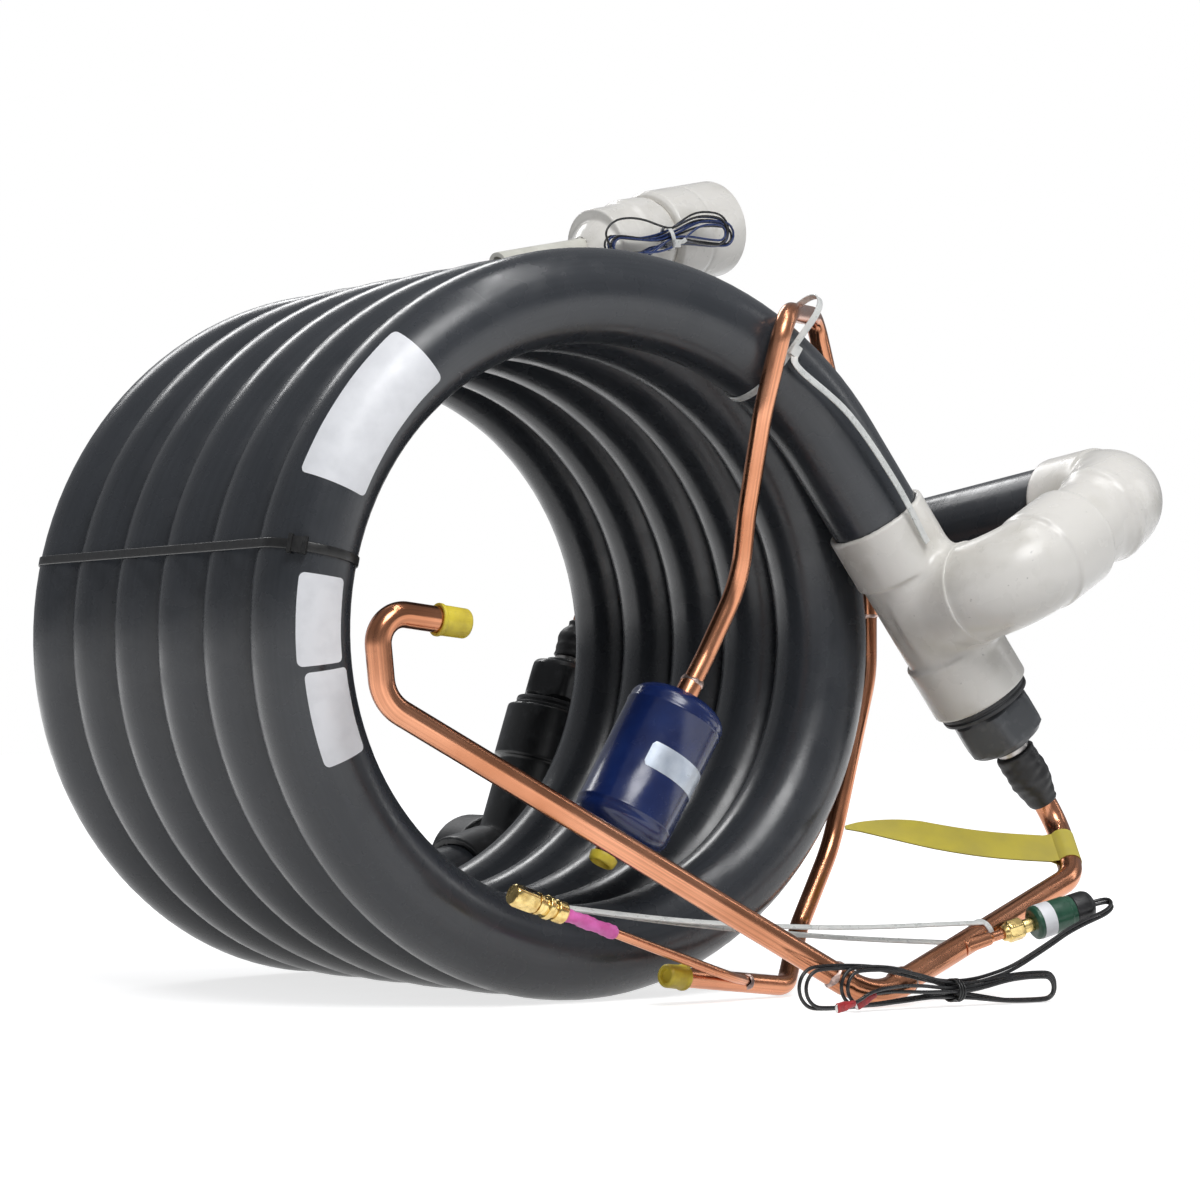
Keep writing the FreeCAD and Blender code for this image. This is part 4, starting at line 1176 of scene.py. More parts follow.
def top_coupling():
    r = COUPLING_OD / 2
    middle = COUPLING_LENGTH / 2
    stop = COUPLING_DEPTH + 3
    start = TOP_CORNER + PORT_LINE * COUPLING_START
    lathe("white_coupling", "top_coupling", start, PORT_LINE, [
        (0, SOCKET_R), (0, r - 3.2), (3, r - 0.6), (middle - 3, r - 0.2), (middle, r - 0.9),
        (middle + 3, r - 0.2), (COUPLING_LENGTH, r), (COUPLING_LENGTH, SOCKET_R), (stop, SOCKET_R),
        (stop, BORE_R), (COUPLING_DEPTH, BORE_R), (COUPLING_DEPTH, SOCKET_R),
    ], WHITE, "white_fitting", sides=96, ease=1.2)


def sensor_port():
    """The hollow stub behind the top elbow."""
    sunk = 13
    length = PORT_REACH - sunk
    bore = SENSOR_HOLE / 2
    r = SENSOR_OD / 2
    outline = [(0, bore), (0, r), (length, r), (length, bore)]
    lathe("hollow_port", "sensor_port", TOP_CORNER - PORT_LINE * sunk, PORT_LINE * -1, outline,
          CREAM, "white_fitting", sides=64, ease=0.7)


def rear_elbow():
    ports = (
        (REAR_LINE * -1, SOCKET_LEG, REAR_DEPTH),
        (REAR_UP, REAR_SEAT, SOCKET_DEPTH),
        (BACK, PORT_LEG, REAR_DEPTH),
    )

    def field(p):
        away = np.linalg.norm(p - np.array(REAR_CORNER), axis=1)
        body = away - (BODY_R + 1)
        bore = away - (BORE_R + 0.6)
        for line, leg, depth in ports:
            rod = rods_on(p, REAR_CORNER, line)
            body = blend_union(body, rod(0, leg - 2, BODY_R), 5.0)
            bore = np.minimum(bore, rod(0, leg + PAST, BORE_R, CUT_EASE))
        for line, leg, depth in ports:
            rod = rods_on(p, REAR_CORNER, line)
            body = blend_union(body, rod(leg - depth - 4, leg, REAR_HUB_OD / 2), 3.0)
            bore = np.minimum(bore, rod(leg - depth, leg + PAST, SOCKET_R, CUT_EASE))
        return np.maximum(body, -bore)

    side = square_to(REAR_UP, REAR_LINE)
    axes = (REAR_UP, side, REAR_UP.cross(side))
    reach = REAR_HUB_OD / 2 + 4
    low = [-reach, -reach, -reach]
    high = [REAR_SEAT + 4, reach, reach]
    for line, leg, depth in ports[::2]:
        for index in range(3):
            tip = line.dot(axes[index]) * (leg + 4)
            spread = reach * math.sqrt(max(0, 1 - line.dot(axes[index]) ** 2))
            low[index] = min(low[index], tip - spread)
            high[index] = max(high[index], tip + spread)
    moulded("dark_elbow", "rear_elbow", field, REAR_CORNER, axes, low, high, DARK_FITTING, "dark_fitting")


def gland_set(name, seat, along, finish):
    """The bushing's flange with its slots, and the gland's hexagon and collar."""
    r = BUSHING_OD / 2
    inner = GLAND_STEM_R + FIT
    flange = turned_part(seat, along, [
        (0, inner), (0, r), (2.6, r), (3.2, r - 1.4), (4.4, r - 1.4), (5.0, r - 0.4),
        (BUSHING_FLANGE, r - 0.8), (BUSHING_FLANGE, inner),
    ], 0.5, 72)
    spigot = SOCKET_DEPTH - FIT
    over = spigot + 0.05
    sleeve = turned_part(seat - along * spigot, along, [
        (0, inner), (0, HOSE_R - 1), (1, HOSE_R), (over, HOSE_R), (over, inner),
    ], 0.3, 72)
    piece(name + "_ring", name + "_bushing", *joined(flange, sleeve), BUSHING, "bushing")
    face = seat + along * BUSHING_FLANGE
    hole = TI_R + FIT
    rim = GLAND_COLLAR_OD / 2
    depth = GLAND_COLLAR + 1
    nut = hex_solid(face + along * 0.05, along, GLAND_HEIGHT, GLAND_FLATS, 1.6)
    collar = turned_part(face + along * (GLAND_HEIGHT - 1), along, [
        (0, hole), (0, rim), (depth, rim - 1), (depth, hole),
    ], 1.0, 64)
    thread = SOCKET_DEPTH + BUSHING_FLANGE - 4
    stem = turned_part(face - along * thread, along, [
        (0, hole), (0, GLAND_STEM_R), (thread + 1, GLAND_STEM_R), (thread + 1, hole),
    ], 0.4, 64)
    piece(name + "_gland_body", name + "_gland", *joined(nut, collar, stem), finish, "gland", sharp=28.0)


def wrapped_sleeve(name, node, start, along, length, tube_end, tube_r, wide):
    """Sealing wrap pulled down over a joint: folds, a waist and an uneven lower edge."""
    inner = TI_R + FIT + SLEEVE_WALL
    narrow = tube_r + FIT + SLEEVE_WALL
    sides = 72
    steps = 30
    slope = tube_end + 3
    side = square_to(along, SIDE_HINT)
    other = along.cross(side)
    vertices = []
    for step in range(steps + 1):
        t = step / steps
        distance = length * t
        u = min(1.0, max(0.0, distance - slope) / max(1.0, length - 4 - slope))
        base = inner * (1 - u) + narrow * u
        for index in range(sides):
            turn = 2 * math.pi * index / sides
            fold = 0.35 * math.sin(turn * 3 + distance * 0.21)
            fold += 0.25 * math.sin(turn * 5 - distance * 0.37 + 1.3)
            layers = 0.24 + 0.24 * math.sin(distance * 0.9 + 1.2 * math.sin(turn + 0.6))
            out = base + wide * (1 - abs(2 * t - 0.9) ** 2.2 * 0.55) * (0.55 + 0.45 * fold) + layers
            if step in (0, steps):
                out = base - 0.2
            vertices.append(start + along * distance + spoke(side, other, turn) * out)
    piece(name, node, vertices, closed_skin(steps + 1, sides), WRAP, "sleeve", sharp=60.0)


# Copper tubes


def arc_low(points, radius):
    """How far above the corner, measured upwards, the lowest point of a rounded corner lies."""
    to_last = (points[0] - points[1]).normalized()
    to_next = (points[2] - points[1]).normalized()
    half = to_last.angle(to_next) / 2
    centre = (to_last + to_next).normalized() * (radius / math.sin(half))
    normal = to_last.cross(to_next).normalized()
    return centre.z - radius * math.sqrt(1 - normal.z ** 2)


def fillet_ring(number, place, along, radius, spread=2.2, height=0.9):
    """A run-out ring of brazing alloy where a tube enters its cup."""
    sides = 48
    side = square_to(along, SIDE_HINT)
    other = along.cross(side)
    vertices = []
    rows = 7
    for row in range(rows):
        t = row / (rows - 1)
        for index in range(sides):
            turn = 2 * math.pi * index / sides
            sway = 1 + 0.35 * math.sin(turn * 2 + 0.7) + 0.2 * math.sin(turn * 5 + 2.1)
            distance = (t - 0.5) * 2 * spread * sway
            out = radius - 0.25 + (height + 0.25) * math.sin(math.pi * t) ** 0.8 * (0.8 + 0.2 * sway)
            vertices.append(place + along * distance + spoke(side, other, turn) * out)
    for distance in (-spread, spread):
        for index in range(sides):
            inward = spoke(side, other, 2 * math.pi * index / sides) * (radius - 0.6)
            vertices.append(place + along * distance * 0.5 + inward)
    faces = []
    order = list(range(rows)) + [rows + 1, rows]
    for row, following in zip(order, order[1:] + order[:1]):
        for index in range(sides):
            after = (index + 1) % sides
            a = row * sides
            b = following * sides
            faces.append((a + index, a + after, b + after, b + index))
    piece("braze_ring_%d" % number, None, vertices, faces, SOLDER, "copper", sharp=60.0)


def end_cap(name, node, points, radius, over, beyond):
    """A thin push-on cap with a rolled rim and a dished end."""
    line = (points[-1] - points[-2]).normalized()
    inner = radius + FIT
    outer = inner + CAP_WALL
    length = over + beyond
    lathe(name, node, points[-1] - line * over, line, [
        (0, inner), (0, outer + 0.5), (2.2, outer + 0.5), (3.0, outer - 0.3), (length - 1.5, outer - 0.5),
        (length, outer - 1.6), (length, outer - 3.2), (length - 3, outer - 3.8), (length - 3, 0),
        (over + FIT, 0), (over + FIT, inner),
    ], YELLOW, "yellow_cap", sides=56, ease=0.6)


def copper_line(name, node, points, bends, radius, sides, spots):
    """A copper tube along a line with bends. A joint's place below zero is measured from the far end."""
    line = rounded(points, by_radius(points, bends), 4.0, 5.0)
    whole = lengths_along(line)[-1]
    places = [(place if place >= 0 else whole + place, spread) for place, spread in spots]
    tube(name, node, line, radius, COPPER, "copper", sides=sides, wall=COPPER_WALL, spots=places)


def discharge_tubes():
    """The hot gas line: down from the front gland, a turn on the floor, then up to its capped end."""
    start = on_front(TI_FRONT_END + 2 * FIT)
    knee = on_front(FRONT_SLEEVE + FRONT_SLEEVE_LENGTH + 15)
    bend = V((329, -54, -162))
    far_corner = V((-190, -40, -50))
    turn = V((126, -102, FLOOR))
    for _ in range(4):
        turn.z = FLOOR + HOT_R + BRAZE_WALL - arc_low([bend, turn, far_corner], DISCHARGE_BEND)
    down = (turn - bend).normalized()
    up = (far_corner - turn).normalized()
    reach = arc_reach([bend, turn, far_corner], 1, DISCHARGE_BEND)
    stop_down = turn - down * (reach + FIT)
    stop_up = turn + up * (reach + FIT)
    lower = [start, knee, bend, stop_down]
    stub_at = (bend + down * SWITCH_PLACE - stop_down).length
    copper_line("hot_tube_lower", "discharge_tube_lower", lower, [24, 30], HOT_R, HOT_SIDES,
                [(0, 30), (-stub_at, 26), (-CUP_LENGTH, 26)])
    upper = [stop_up, far_corner, V((-196, -40, 4)), V((-142, -40, -2))]
    copper_line("hot_tube_upper", "discharge_tube_upper", upper, [26, 17], HOT_R, HOT_SIDES, [(6, 34)])
    arm = reach + CUP_LENGTH
    ends = [turn - down * arm, turn, turn + up * arm]
    line = rounded(ends, [reach], 4.0, 3.0)
    cup = HOT_R + BRAZE_WALL
    passed = lengths_along(line)
    radii = []
    for gone in passed:
        inset = min(gone, passed[-1] - gone)
        radii.append(cup if inset < CUP_LENGTH - 2 else cup - 0.9)
    tube("hot_elbow", "discharge_elbow", line, radii, COPPER, "copper", sides=HOT_SIDES,
         spots=[(8, 18), (passed[-1] - 8, 18)])
    fillet_ring(1, ends[0], down, HOT_R + 0.3)
    fillet_ring(2, ends[2], up, HOT_R + 0.3)
    end_cap("hot_cap", "discharge_cap", upper, HOT_R, 12, 9)
    return lower


def hang_tag(lower):
    """A yellow tag folded round the hot gas tube, its two leaves stuck together and drooping left."""
    along = (lower[2] - lower[1]).normalized()
    middle = lower[1] + along * TAG_PLACE
    left = square_to(along, V((-1, 0, -0.1)))
    front = left.cross(along).normalized()
    rim = HOT_R + FIT + TAG_THICKNESS / 2
    leaf_gap = 0.35
    columns = 30
    rows = 9
    leaf = []
    for index in range(1, columns + 1):
        t = index / columns
        sag = 8.5 * math.sin(math.pi * min(1.0, t * 1.05)) ** 1.2
        leaf.append((rim + TAG_LENGTH * t, sag, 3.0 * math.sin(t * 4.4) * t))
    path = []
    for distance, sag, swing in reversed(leaf):
        path.append((left * distance + front * (swing + leaf_gap), distance, sag))
    for index in range(25):
        angle = math.radians(14 + (360 - 28) * index / 24)
        path.append((spoke(left, front, angle) * rim, 0.0, 0.0))
    for distance, sag, swing in leaf:
        path.append((left * distance + front * (swing - leaf_gap), distance, sag))
    grid = []
    for place, distance, sag in path:
        t = max(0.0, (distance - rim) / TAG_LENGTH)
        taper = max(0.0, (t - 0.62) / 0.38)
        low = TAG_WIDTH * (0.78 * taper ** 1.6 - 0.5)
        high = TAG_WIDTH * (0.5 - 0.10 * taper)
        row = []
        for index in range(rows):
            row.append(middle + place + along * (low + (high - low) * index / (rows - 1) + sag))
        grid.append(row)
    normals = directions([row[rows // 2] for row in grid])
    vertices = []
    for sign in (1, -1):
        for row, way in zip(grid, normals):
            out = way.cross(along).normalized() * (sign * TAG_THICKNESS / 4)
            vertices += [spot + out for spot in row]
    piece("folded_tag", "hang_tag", vertices, sheet_faces(len(path), rows), TAG, "tag", sharp=50.0)


def pressure_switch(lower):
    """The switch on its flared stub. It gives the place and the direction where the leads come out."""
    line = (lower[3] - lower[2]).normalized()
    root = lower[2] + line * SWITCH_PLACE
    aim = SWITCH_LINE
    r = CAPILLARY_OD / 2
    lead_in = HOT_R - 1
    length = SWITCH_STUB - lead_in
    lathe("flare_stub", "switch_stub", root + aim * lead_in, aim, [
        (0, 0), (0, r + 3.2), (2.5, r + 1.9), (26 - lead_in, r + BRAZE_WALL), (28 - lead_in, r),
        (length, r), (length, 0),
    ], COPPER, "copper", sides=32, heat=0.75)
    nut = root + aim * (SWITCH_STUB - 14)
    hexagon = hex_solid(nut + aim * 3, aim, 11, 13, 0.5)
    nose = turned_part(nut, aim, [(0, r + FIT), (0, 4.8), (3.2, 5.9), (3.2, r + FIT)], 0.4, 40)
    neck = turned_part(nut + aim * 13.9, aim, [(0, 0), (0, 4.6), (8.1, 4.6), (8.1, 0)], 0.3, 40)
    piece("flare_nut", "switch_fitting", *joined(hexagon, nose, neck), BRASS, "brass", sharp=28.0)
    base = nut + aim * 22
    rim = SWITCH_OD / 2
    lathe("switch_can", "pressure_switch", base, aim, [
        (0, 0), (0, rim - 2.2), (1.6, rim), (SWITCH_LENGTH - 4, rim), (SWITCH_LENGTH - 3.4, rim - 0.5),
        (SWITCH_LENGTH, rim - 0.6), (SWITCH_LENGTH, 0),
    ], GREEN, "switch_body", sides=64, ease=0.6)
    over = rim + LABEL_THICKNESS
    lathe("switch_label", "switch_band", base + aim * 4, aim, [
        (0, rim - 0.1), (0, over), (9, over), (9, rim - 0.1),
    ], PAPER, "label", sides=64, ease=0.1)
    top = base + aim * SWITCH_LENGTH
    boot = rim - 0.5
    lathe("switch_cover", "switch_boot", top, aim, [
        (0, 0), (0, boot), (SWITCH_BOOT - 5, boot), (SWITCH_BOOT - 2, boot - 1.2), (SWITCH_BOOT, boot - 4),
        (SWITCH_BOOT, boot - 6), (SWITCH_BOOT - 4, boot - 7), (SWITCH_BOOT - 4, 0),
    ], RUBBER, "boot", sides=64, ease=1.0)
    return top + aim * SWITCH_BOOT, aim


def drier():
    """The drier's can, stubs, core and plug. It gives the place where the liquid line starts."""
    axis = DRIER_LINE
    middle = DRIER_CENTRE
    half = DRIER_LENGTH / 2
    cup = COLD_R + BRAZE_WALL
    r = DRIER_OD / 2
    right = [(half - 5.4, r), (half - 4.6, r + 0.45), (half - 3.2, r + 0.45), (half - 2.4, r - 0.1)]
    for step in range(13):
        turn = math.radians(90 * step / 12)
        right.append((half + DRIER_SHOULDER * math.sin(turn), cup + (r - cup) * math.cos(turn) ** 0.8))
    left = [(-x, y) for x, y in reversed(right)]
    outline = [(left[0][0], cup - 0.4)] + left + right + [(right[-1][0], cup - 0.4)]
    inner = [(half, r - 1.2), (-half, r - 1.2)]
    can = lathed(middle, axis, outline + inner, 96)
    piece("drier_can", "drier_shell", *can, BLUE, "drier", sharp=50.0)
    tip = half + DRIER_SHOULDER
    stub = DRIER_STUB + 5
    parts = []
    for line in (axis * -1, axis):
        parts.append(turned_part(middle + line * (tip - 5), line, [
            (0, COLD_R + FIT), (0, cup), (stub, cup), (stub, COLD_R + FIT),
        ], 0.5, 48))
    piece("drier_tubes", "drier_stubs", *joined(*parts), COPPER, "copper", heat=0.7)
    fillet_ring(3, middle + axis * (tip + DRIER_STUB), axis, COLD_R + 0.5, 2.4)
    dress("drier_core", FILL)
    end = middle - axis * (tip + DRIER_STUB)
    lathe("drier_cap", "drier_plug", end + axis * 10, axis * -1, [
        (0, 0), (0, COLD_R), (10, COLD_R), (10, cup + 1.6), (12, cup + 1.6), (15, cup + 1.0),
        (16, cup + 0.2), (16, cup - 1.4), (8, cup - 2.4), (8, 0),
    ], YELLOW, "yellow_cap", sides=56, ease=0.5)
    return middle + axis * (tip + DRIER_STUB - 12)


def liquid_lines(top_stub):
    """The copper lines that meet at the liquid tee. It gives the corners of the lowest one."""
    cup = COLD_R + BRAZE_WALL
    inset = TEE_ARM - CUP_LENGTH + FIT
    hook = [
        top_stub,
        top_stub + DRIER_LINE * 33,
        within(15.5, 16, 65),
        within(35, 0, 53),
        within(54, -22, 10),
        beside(61.6, -34, -10),
        beside(47, 54, 50),
        beside(33, TEE_DRIFT, 25),
        LIQUID_TEE + UP * (TEE_ARM + 24),
        LIQUID_TEE + UP * inset,
    ]
    copper_line("hook_tube", "liquid_hook_tube", hook, [50, 60, 60, 60, 22, 20, 50, 60], COLD_R, COLD_SIDES,
                [(14, 22), (-CUP_LENGTH, 18)])
    parts = []
    for start, way, length in ((LIQUID_TEE - UP * TEE_ARM, UP, 2 * TEE_ARM), (LIQUID_TEE, BACK, TEE_ARM)):
        parts.append(turned_part(start, way, [(0, 0), (0, cup), (length, cup), (length, 0)], 0.6, 40))
    piece("copper_tee", "liquid_tee", *joined(*parts), COPPER, "copper", heat=0.6)
    for number, way in enumerate((UP, UP * -1, BACK)):
        fillet_ring(4 + number, LIQUID_TEE + way * TEE_ARM, way, COLD_R + 0.4, 2.0, 0.8)
    rear = [on_rear(TI_REAR_END + 2 * FIT), LIQUID_CORNER, LIQUID_TEE + BACK * inset]
    copper_line("rear_copper_tube", "liquid_return_tube", rear, [20], COLD_R, COLD_SIDES,
                [(0, 22), (-CUP_LENGTH, 18)])
    bottom = FLOOR + COLD_R
    service = [
        LIQUID_TEE - UP * inset,
        LIQUID_TEE - UP * (TEE_ARM + 40),
        beside(-34, 58, 20),
        beside(-48.4, 40, 24),
        V((133, 0, bottom + 0.3)),
        V((29, -20, bottom + 11.5)),
    ]
    copper_line("capped_tube", "service_tube", service, [90, 70, 30, 18], COLD_R, COLD_SIDES,
                [(CUP_LENGTH, 18), (-60, 30)])
    end_cap("capped_tube_cap", "service_cap", service, COLD_R, 12, 5)
    return service


def marker_tape(end, aim, r):
    """Pink tape wound over the thin tube's end, creased."""
    length = 40
    side = square_to(aim, UP)
    other = aim.cross(side)
    sides = 40
    steps = 26
    vertices = []
    for step in range(steps + 1):
        distance = length * step / steps
        for index in range(sides):
            turn = 2 * math.pi * index / sides
            crease = 0.35 * math.sin(2 * turn + distance * 0.35) + 0.2 * math.sin(distance * 1.1 + turn)
            out = r + 0.05 if step in (0, steps) else r + 1.0 + crease
            vertices.append(end - aim * (length + 3 - distance) + spoke(side, other, turn) * out)
    piece("pink_wrap", "marker_tape", vertices, closed_skin(steps + 1, sides), PINK, "tape", sharp=60.0)


def access_valve(service):
    """A thin tube from the service tube, with its tape, valve and cap."""
    line = (service[-1] - service[-2]).normalized()
    root = service[-2] + line * VALVE_PLACE
    r = CAPILLARY_OD / 2
    run = [root, root + V((-34, -22, 7)), V((-60, -32, -177))]
    course = rounded(run, by_radius(run, [60]), 3.0, 3.0)
    course = [spot for spot in course if (spot - root).length > COLD_R - 0.5]
    whole = lengths_along(course)[-1]
    tube("thin_tube", "valve_tube", course, r, COPPER, "copper", sides=28, spots=[(0, 22), (whole, 26)])
    way = (course[1] - course[0]).normalized()
    fillet_ring(7, course[0] + way * 1.2, way, r + 0.9, 2.2, 1.2)
    end = run[-1]
    aim = (run[2] - run[1]).normalized()
    marker_tape(end, aim, r)
    stem = 5.4
    lathe("brass_valve", "service_valve", end - aim * 2, aim, [
        (0, r), (0, 6.2), (1.2, 7), (7, 7), (8, 6.2), (8, 5), (11, 5), (11, 7.2), (11.8, 7.6), (14.4, 7.6),
        (15, 7.2), (15, stem), (34, stem), (34, 0), (2 + FIT, 0), (2 + FIT, r),
    ], BRASS, "brass", sides=56, ease=0.35, sharp=32.0)
    cap = hex_solid(end + aim * 20, aim, 18, 13, 0.6)
    hole = stem + 0.1
    ring = turned_part(end + aim * 17.6, aim, [(0, hole), (0, 6.9), (2.4, 6.9), (2.4, hole)], 0.4, 48)
    piece("brass_cap", "valve_cap", *joined(cap, ring), BRASS, "brass", sharp=28.0)


# Labels, strap and ties


def coil_frame_at(angle):
    """A point of the hose's centre line at an angle round the coil, with its outward and front lines."""
    here = around(angle, COIL_PITCH * angle / 360, COIL_RADIUS)
    ahead = around(angle + 0.5, COIL_PITCH * (angle + 0.5) / 360, COIL_RADIUS)
    along = (ahead - here).normalized()
    out = square_to(along, V((here.x, 0, here.z)))
    front = out.cross(along).normalized()
    if front.y > 0:
        front = front * -1
    return here, out, front


# Each label's first and last angle round the coil, and its lowest and highest round the hose
LABELS = [
    ("label_large", 131.3, 157.8, 26.5, 112.0),
    ("label_upper", 172.6, 187.2, 56.0, 114.0),
    ("label_lower", 188.2, 203.6, 63.0, 121.0),
]


def in_corner(x, y, length, height, corner):
    """A point of a rectangle, drawn in where it lies past the arc of a rounded corner."""
    dx = min(x, length - x)
    dy = min(y, height - y)
    gap = math.hypot(corner - dx, corner - dy)
    if dx < corner and dy < corner and gap > corner:
        dx = corner - (corner - dx) * corner / gap
        dy = corner - (corner - dy) * corner / gap
        x = dx if x < length / 2 else length - dx
        y = dy if y < height / 2 else height - dy
    return x, y


def hose_label(name, start, end, low, high):
    """A label between two angles round the coil and two round the hose, with rounded corners."""
    corner = 3.5
    columns = 40
    rows = 28
    length = math.radians(end - start) * COIL_RADIUS
    height = math.radians(high - low) * HOSE_R
    vertices = []
    for lift, wave in ((LABEL_THICKNESS, 0.05), (0.02, 0.0)):
        for i in range(columns + 1):
            for j in range(rows + 1):
                x, y = in_corner(length * i / columns, height * j / rows, length, height, corner)
                here, out, front = coil_frame_at(start + (end - start) * x / length)
                turn = math.radians(low + (high - low) * y / height)
                r = HOSE_R + lift + wave * math.sin(x * 0.21 + y * 0.13)
                vertices.append(here + spoke(out, front, turn) * r)
    piece(name + "_sticker", name, vertices, sheet_faces(columns + 1, rows + 1), PAPER, "label", sharp=50.0)


def drier_label():
    """A blank silver label part of the way round the drier, with rounded corners."""
    side = square_to(DRIER_LINE, BACK * -1)
    other = DRIER_LINE.cross(side)
    r = DRIER_OD / 2
    columns = 48
    across = 5
    corner = 2.5
    low = -8.0
    high = 9.0
    first = math.radians(-39)
    last = math.radians(100)
    vertices = []
    for lift in (LABEL_THICKNESS, 0.02):
        for i in range(columns + 1):
            turn = first + (last - first) * i / columns
            end_gap = min(i, columns - i) / columns * (last - first) * r
            ease = corner - math.sqrt(max(0.0, corner ** 2 - (corner - min(end_gap, corner)) ** 2))
            for j in range(across):
                span = low + ease + (high - low - 2 * ease) * j / (across - 1)
                vertices.append(DRIER_CENTRE + DRIER_LINE * span + spoke(side, other, turn) * (r + lift))
    faces = sheet_faces(columns + 1, across)
    piece("drier_sticker", "drier_label", vertices, faces, SILVER_LABEL, "drier_label", sharp=50.0)


def coil_strap():
    """The strap drawn round all the turns on the left, and its buckle. It spans the gaps between them."""
    turn = math.radians(STRAP_ANGLE)
    out = V((math.cos(turn), 0, math.sin(turn)))
    along = V((-math.sin(turn), 0, math.cos(turn)))
    first = COIL_PITCH * STRAP_ANGLE / 360
    r = HOSE_R + STRAP_GAP + STRAP_THICKNESS / 2
    near = out * COIL_RADIUS + BACK * first
    far = out * COIL_RADIUS + BACK * (first + COIL_PITCH * 5)
    count = 40
    bends = 32
    line = [(near + out * r).lerp(far + out * r, step / count) for step in range(count + 1)]
    line += [far + spoke(out, BACK, math.pi * step / bends) * r for step in range(1, bends + 1)]
    line += [(far - out * r).lerp(near - out * r, step / count) for step in range(1, count + 1)]
    line += [near - spoke(out, BACK, math.pi * step / bends) * r for step in range(1, bends)]
    line.append(line[0].copy())
    strap = ribbon_solid(line, [along] * len(line), STRAP_WIDTH, STRAP_THICKNESS)
    piece("black_strap", "coil_strap", *strap, BLACK_NYLON, "strap", sharp=50.0)
    lean = math.radians(BUCKLE_ANGLE)
    face = out * math.cos(lean) - BACK * math.sin(lean)
    across = out * math.sin(lean) + BACK * math.cos(lean)
    seat = near + face * (HOSE_R + STRAP_GAP + STRAP_THICKNESS - 0.3)
    parts = []
    for shift, width, height, high in ((0, 12, 9.5, 4.4), (4.5, 3, 11.5, 5.0), (-4.5, 3, 10.5, 4.8)):
        centre = seat + across * shift + face * (high / 2)
        line = [centre - along * (height / 2), centre + along * (height / 2)]
        parts.append(ribbon_solid(line, [across, across], width, high))
    piece("strap_lock", "strap_buckle", *joined(*parts), BLACK_NYLON, "strap")


def belt_line(centre, along, first, second, lift, steps=26):
    """The closed line of a tie drawn round two rods. first and second are (across, up, radius)."""
    side = along.cross(BACK).normalized()
    front = side.cross(along).normalized()
    (x1, y1, r1), (x2, y2, r2) = first, second
    r1 += lift
    r2 += lift
    span = math.hypot(x2 - x1, y2 - y1)
    lean = math.atan2(y2 - y1, x2 - x1)
    tilt = math.acos((r1 - r2) / span)
    line = []

    def spot(x, y, r, angle):
        return centre + side * (x + r * math.cos(angle)) + front * (y + r * math.sin(angle))

    for step in range(steps + 1):
        line.append(spot(x1, y1, r1, lean + tilt + (2 * math.pi - 2 * tilt) * step / steps))
    for step in range(steps // 2 + 1):
        line.append(spot(x2, y2, r2, lean - tilt + 2 * tilt * step / (steps // 2)))
    line.append(line[0].copy())
    return line


def top_tie(hose_line):
    """A nylon tie round the hose and the hook line, its head in front, its tail over the tee."""
    passed = lengths_along(hose_line)
    straight = TEE_MOUTH + SOCKET_DEPTH - FIT - HALF_EDGE
    goal = straight + math.pi * COIL_RADIUS / ARCS_PER_TURN
    index = min(range(len(passed)), key=lambda number: abs(passed[number] - goal))
    here = hose_line[index]
    along = (hose_line[index - 1] - hose_line[index + 1]).normalized()
    hook = (31, -22, 16.5)
    line = belt_line(here, along, (0, 0, HOSE_R), hook, TIE_GAP + TIE_THICKNESS / 2)
    loop = ribbon_solid(line, [along] * len(line), TIE_WIDTH, TIE_THICKNESS)
    out = along.cross(BACK).normalized()
    head = here + out * 4 - BACK * (HOSE_R + TIE_GAP + TIE_THICKNESS + 2.2)
    block = ribbon_solid([head - out * 4, head + out * 4], [along] * 2, 7.4, 5.4)
    start = head - BACK * 1.2 - out * 3
    end = on_front(TEE_MOUTH + 22) - BACK * (HUB_R + 4)
    drop = [
        start,
        start + V((2, -5, -10)),
        start.lerp(end, 0.35) + V((3, -5, 4)),
        start.lerp(end, 0.7) + V((4, -3, 3)),
        end,
    ]
    line = curve_through(drop)
    tail = ribbon_solid(line, [V((1, 0, 0.7))] * len(line), TIE_WIDTH, TIE_THICKNESS)
    piece("nylon_tie", "top_tie", *joined(loop, block, tail), NYLON, "tie")


def long_tie(lower):
    """A long nylon tie from the hot gas tube to the inside of the front turn, both strands slack."""
    line = (lower[3] - lower[2]).normalized()
    middle = lower[2] + line * LONG_TIE_PLACE
    lift = HOT_R + FIT + TIE_THICKNESS / 2
    angle = 256
    lean = math.radians(150)
    drift = COIL_PITCH * angle / 360 - HOSE_R * math.sin(lean)
    catch = around(angle, drift, COIL_RADIUS + HOSE_R * math.cos(lean))
    back = square_to(line, catch - middle)
    side = line.cross(back)
    goal = catch + UP * TIE_THICKNESS
    strands = [[middle + spoke(back, side, 2 * math.pi * step / 32) * lift for step in range(33)]]
    for rise, drop in ((1, -4), (-1, -7)):
        start = middle + side * (rise * lift)
        bow = UP * drop
        slack = [start.lerp(goal, share) + bow for share in (0.33, 0.66)]
        strands.append(curve_through([start, *slack, goal]))
    parts = [ribbon_solid(strand, [line] * len(strand), TIE_WIDTH, TIE_THICKNESS) for strand in strands]
    piece("long_nylon_tie", "long_tie", *joined(*parts), NYLON, "tie")


# Electrical leads


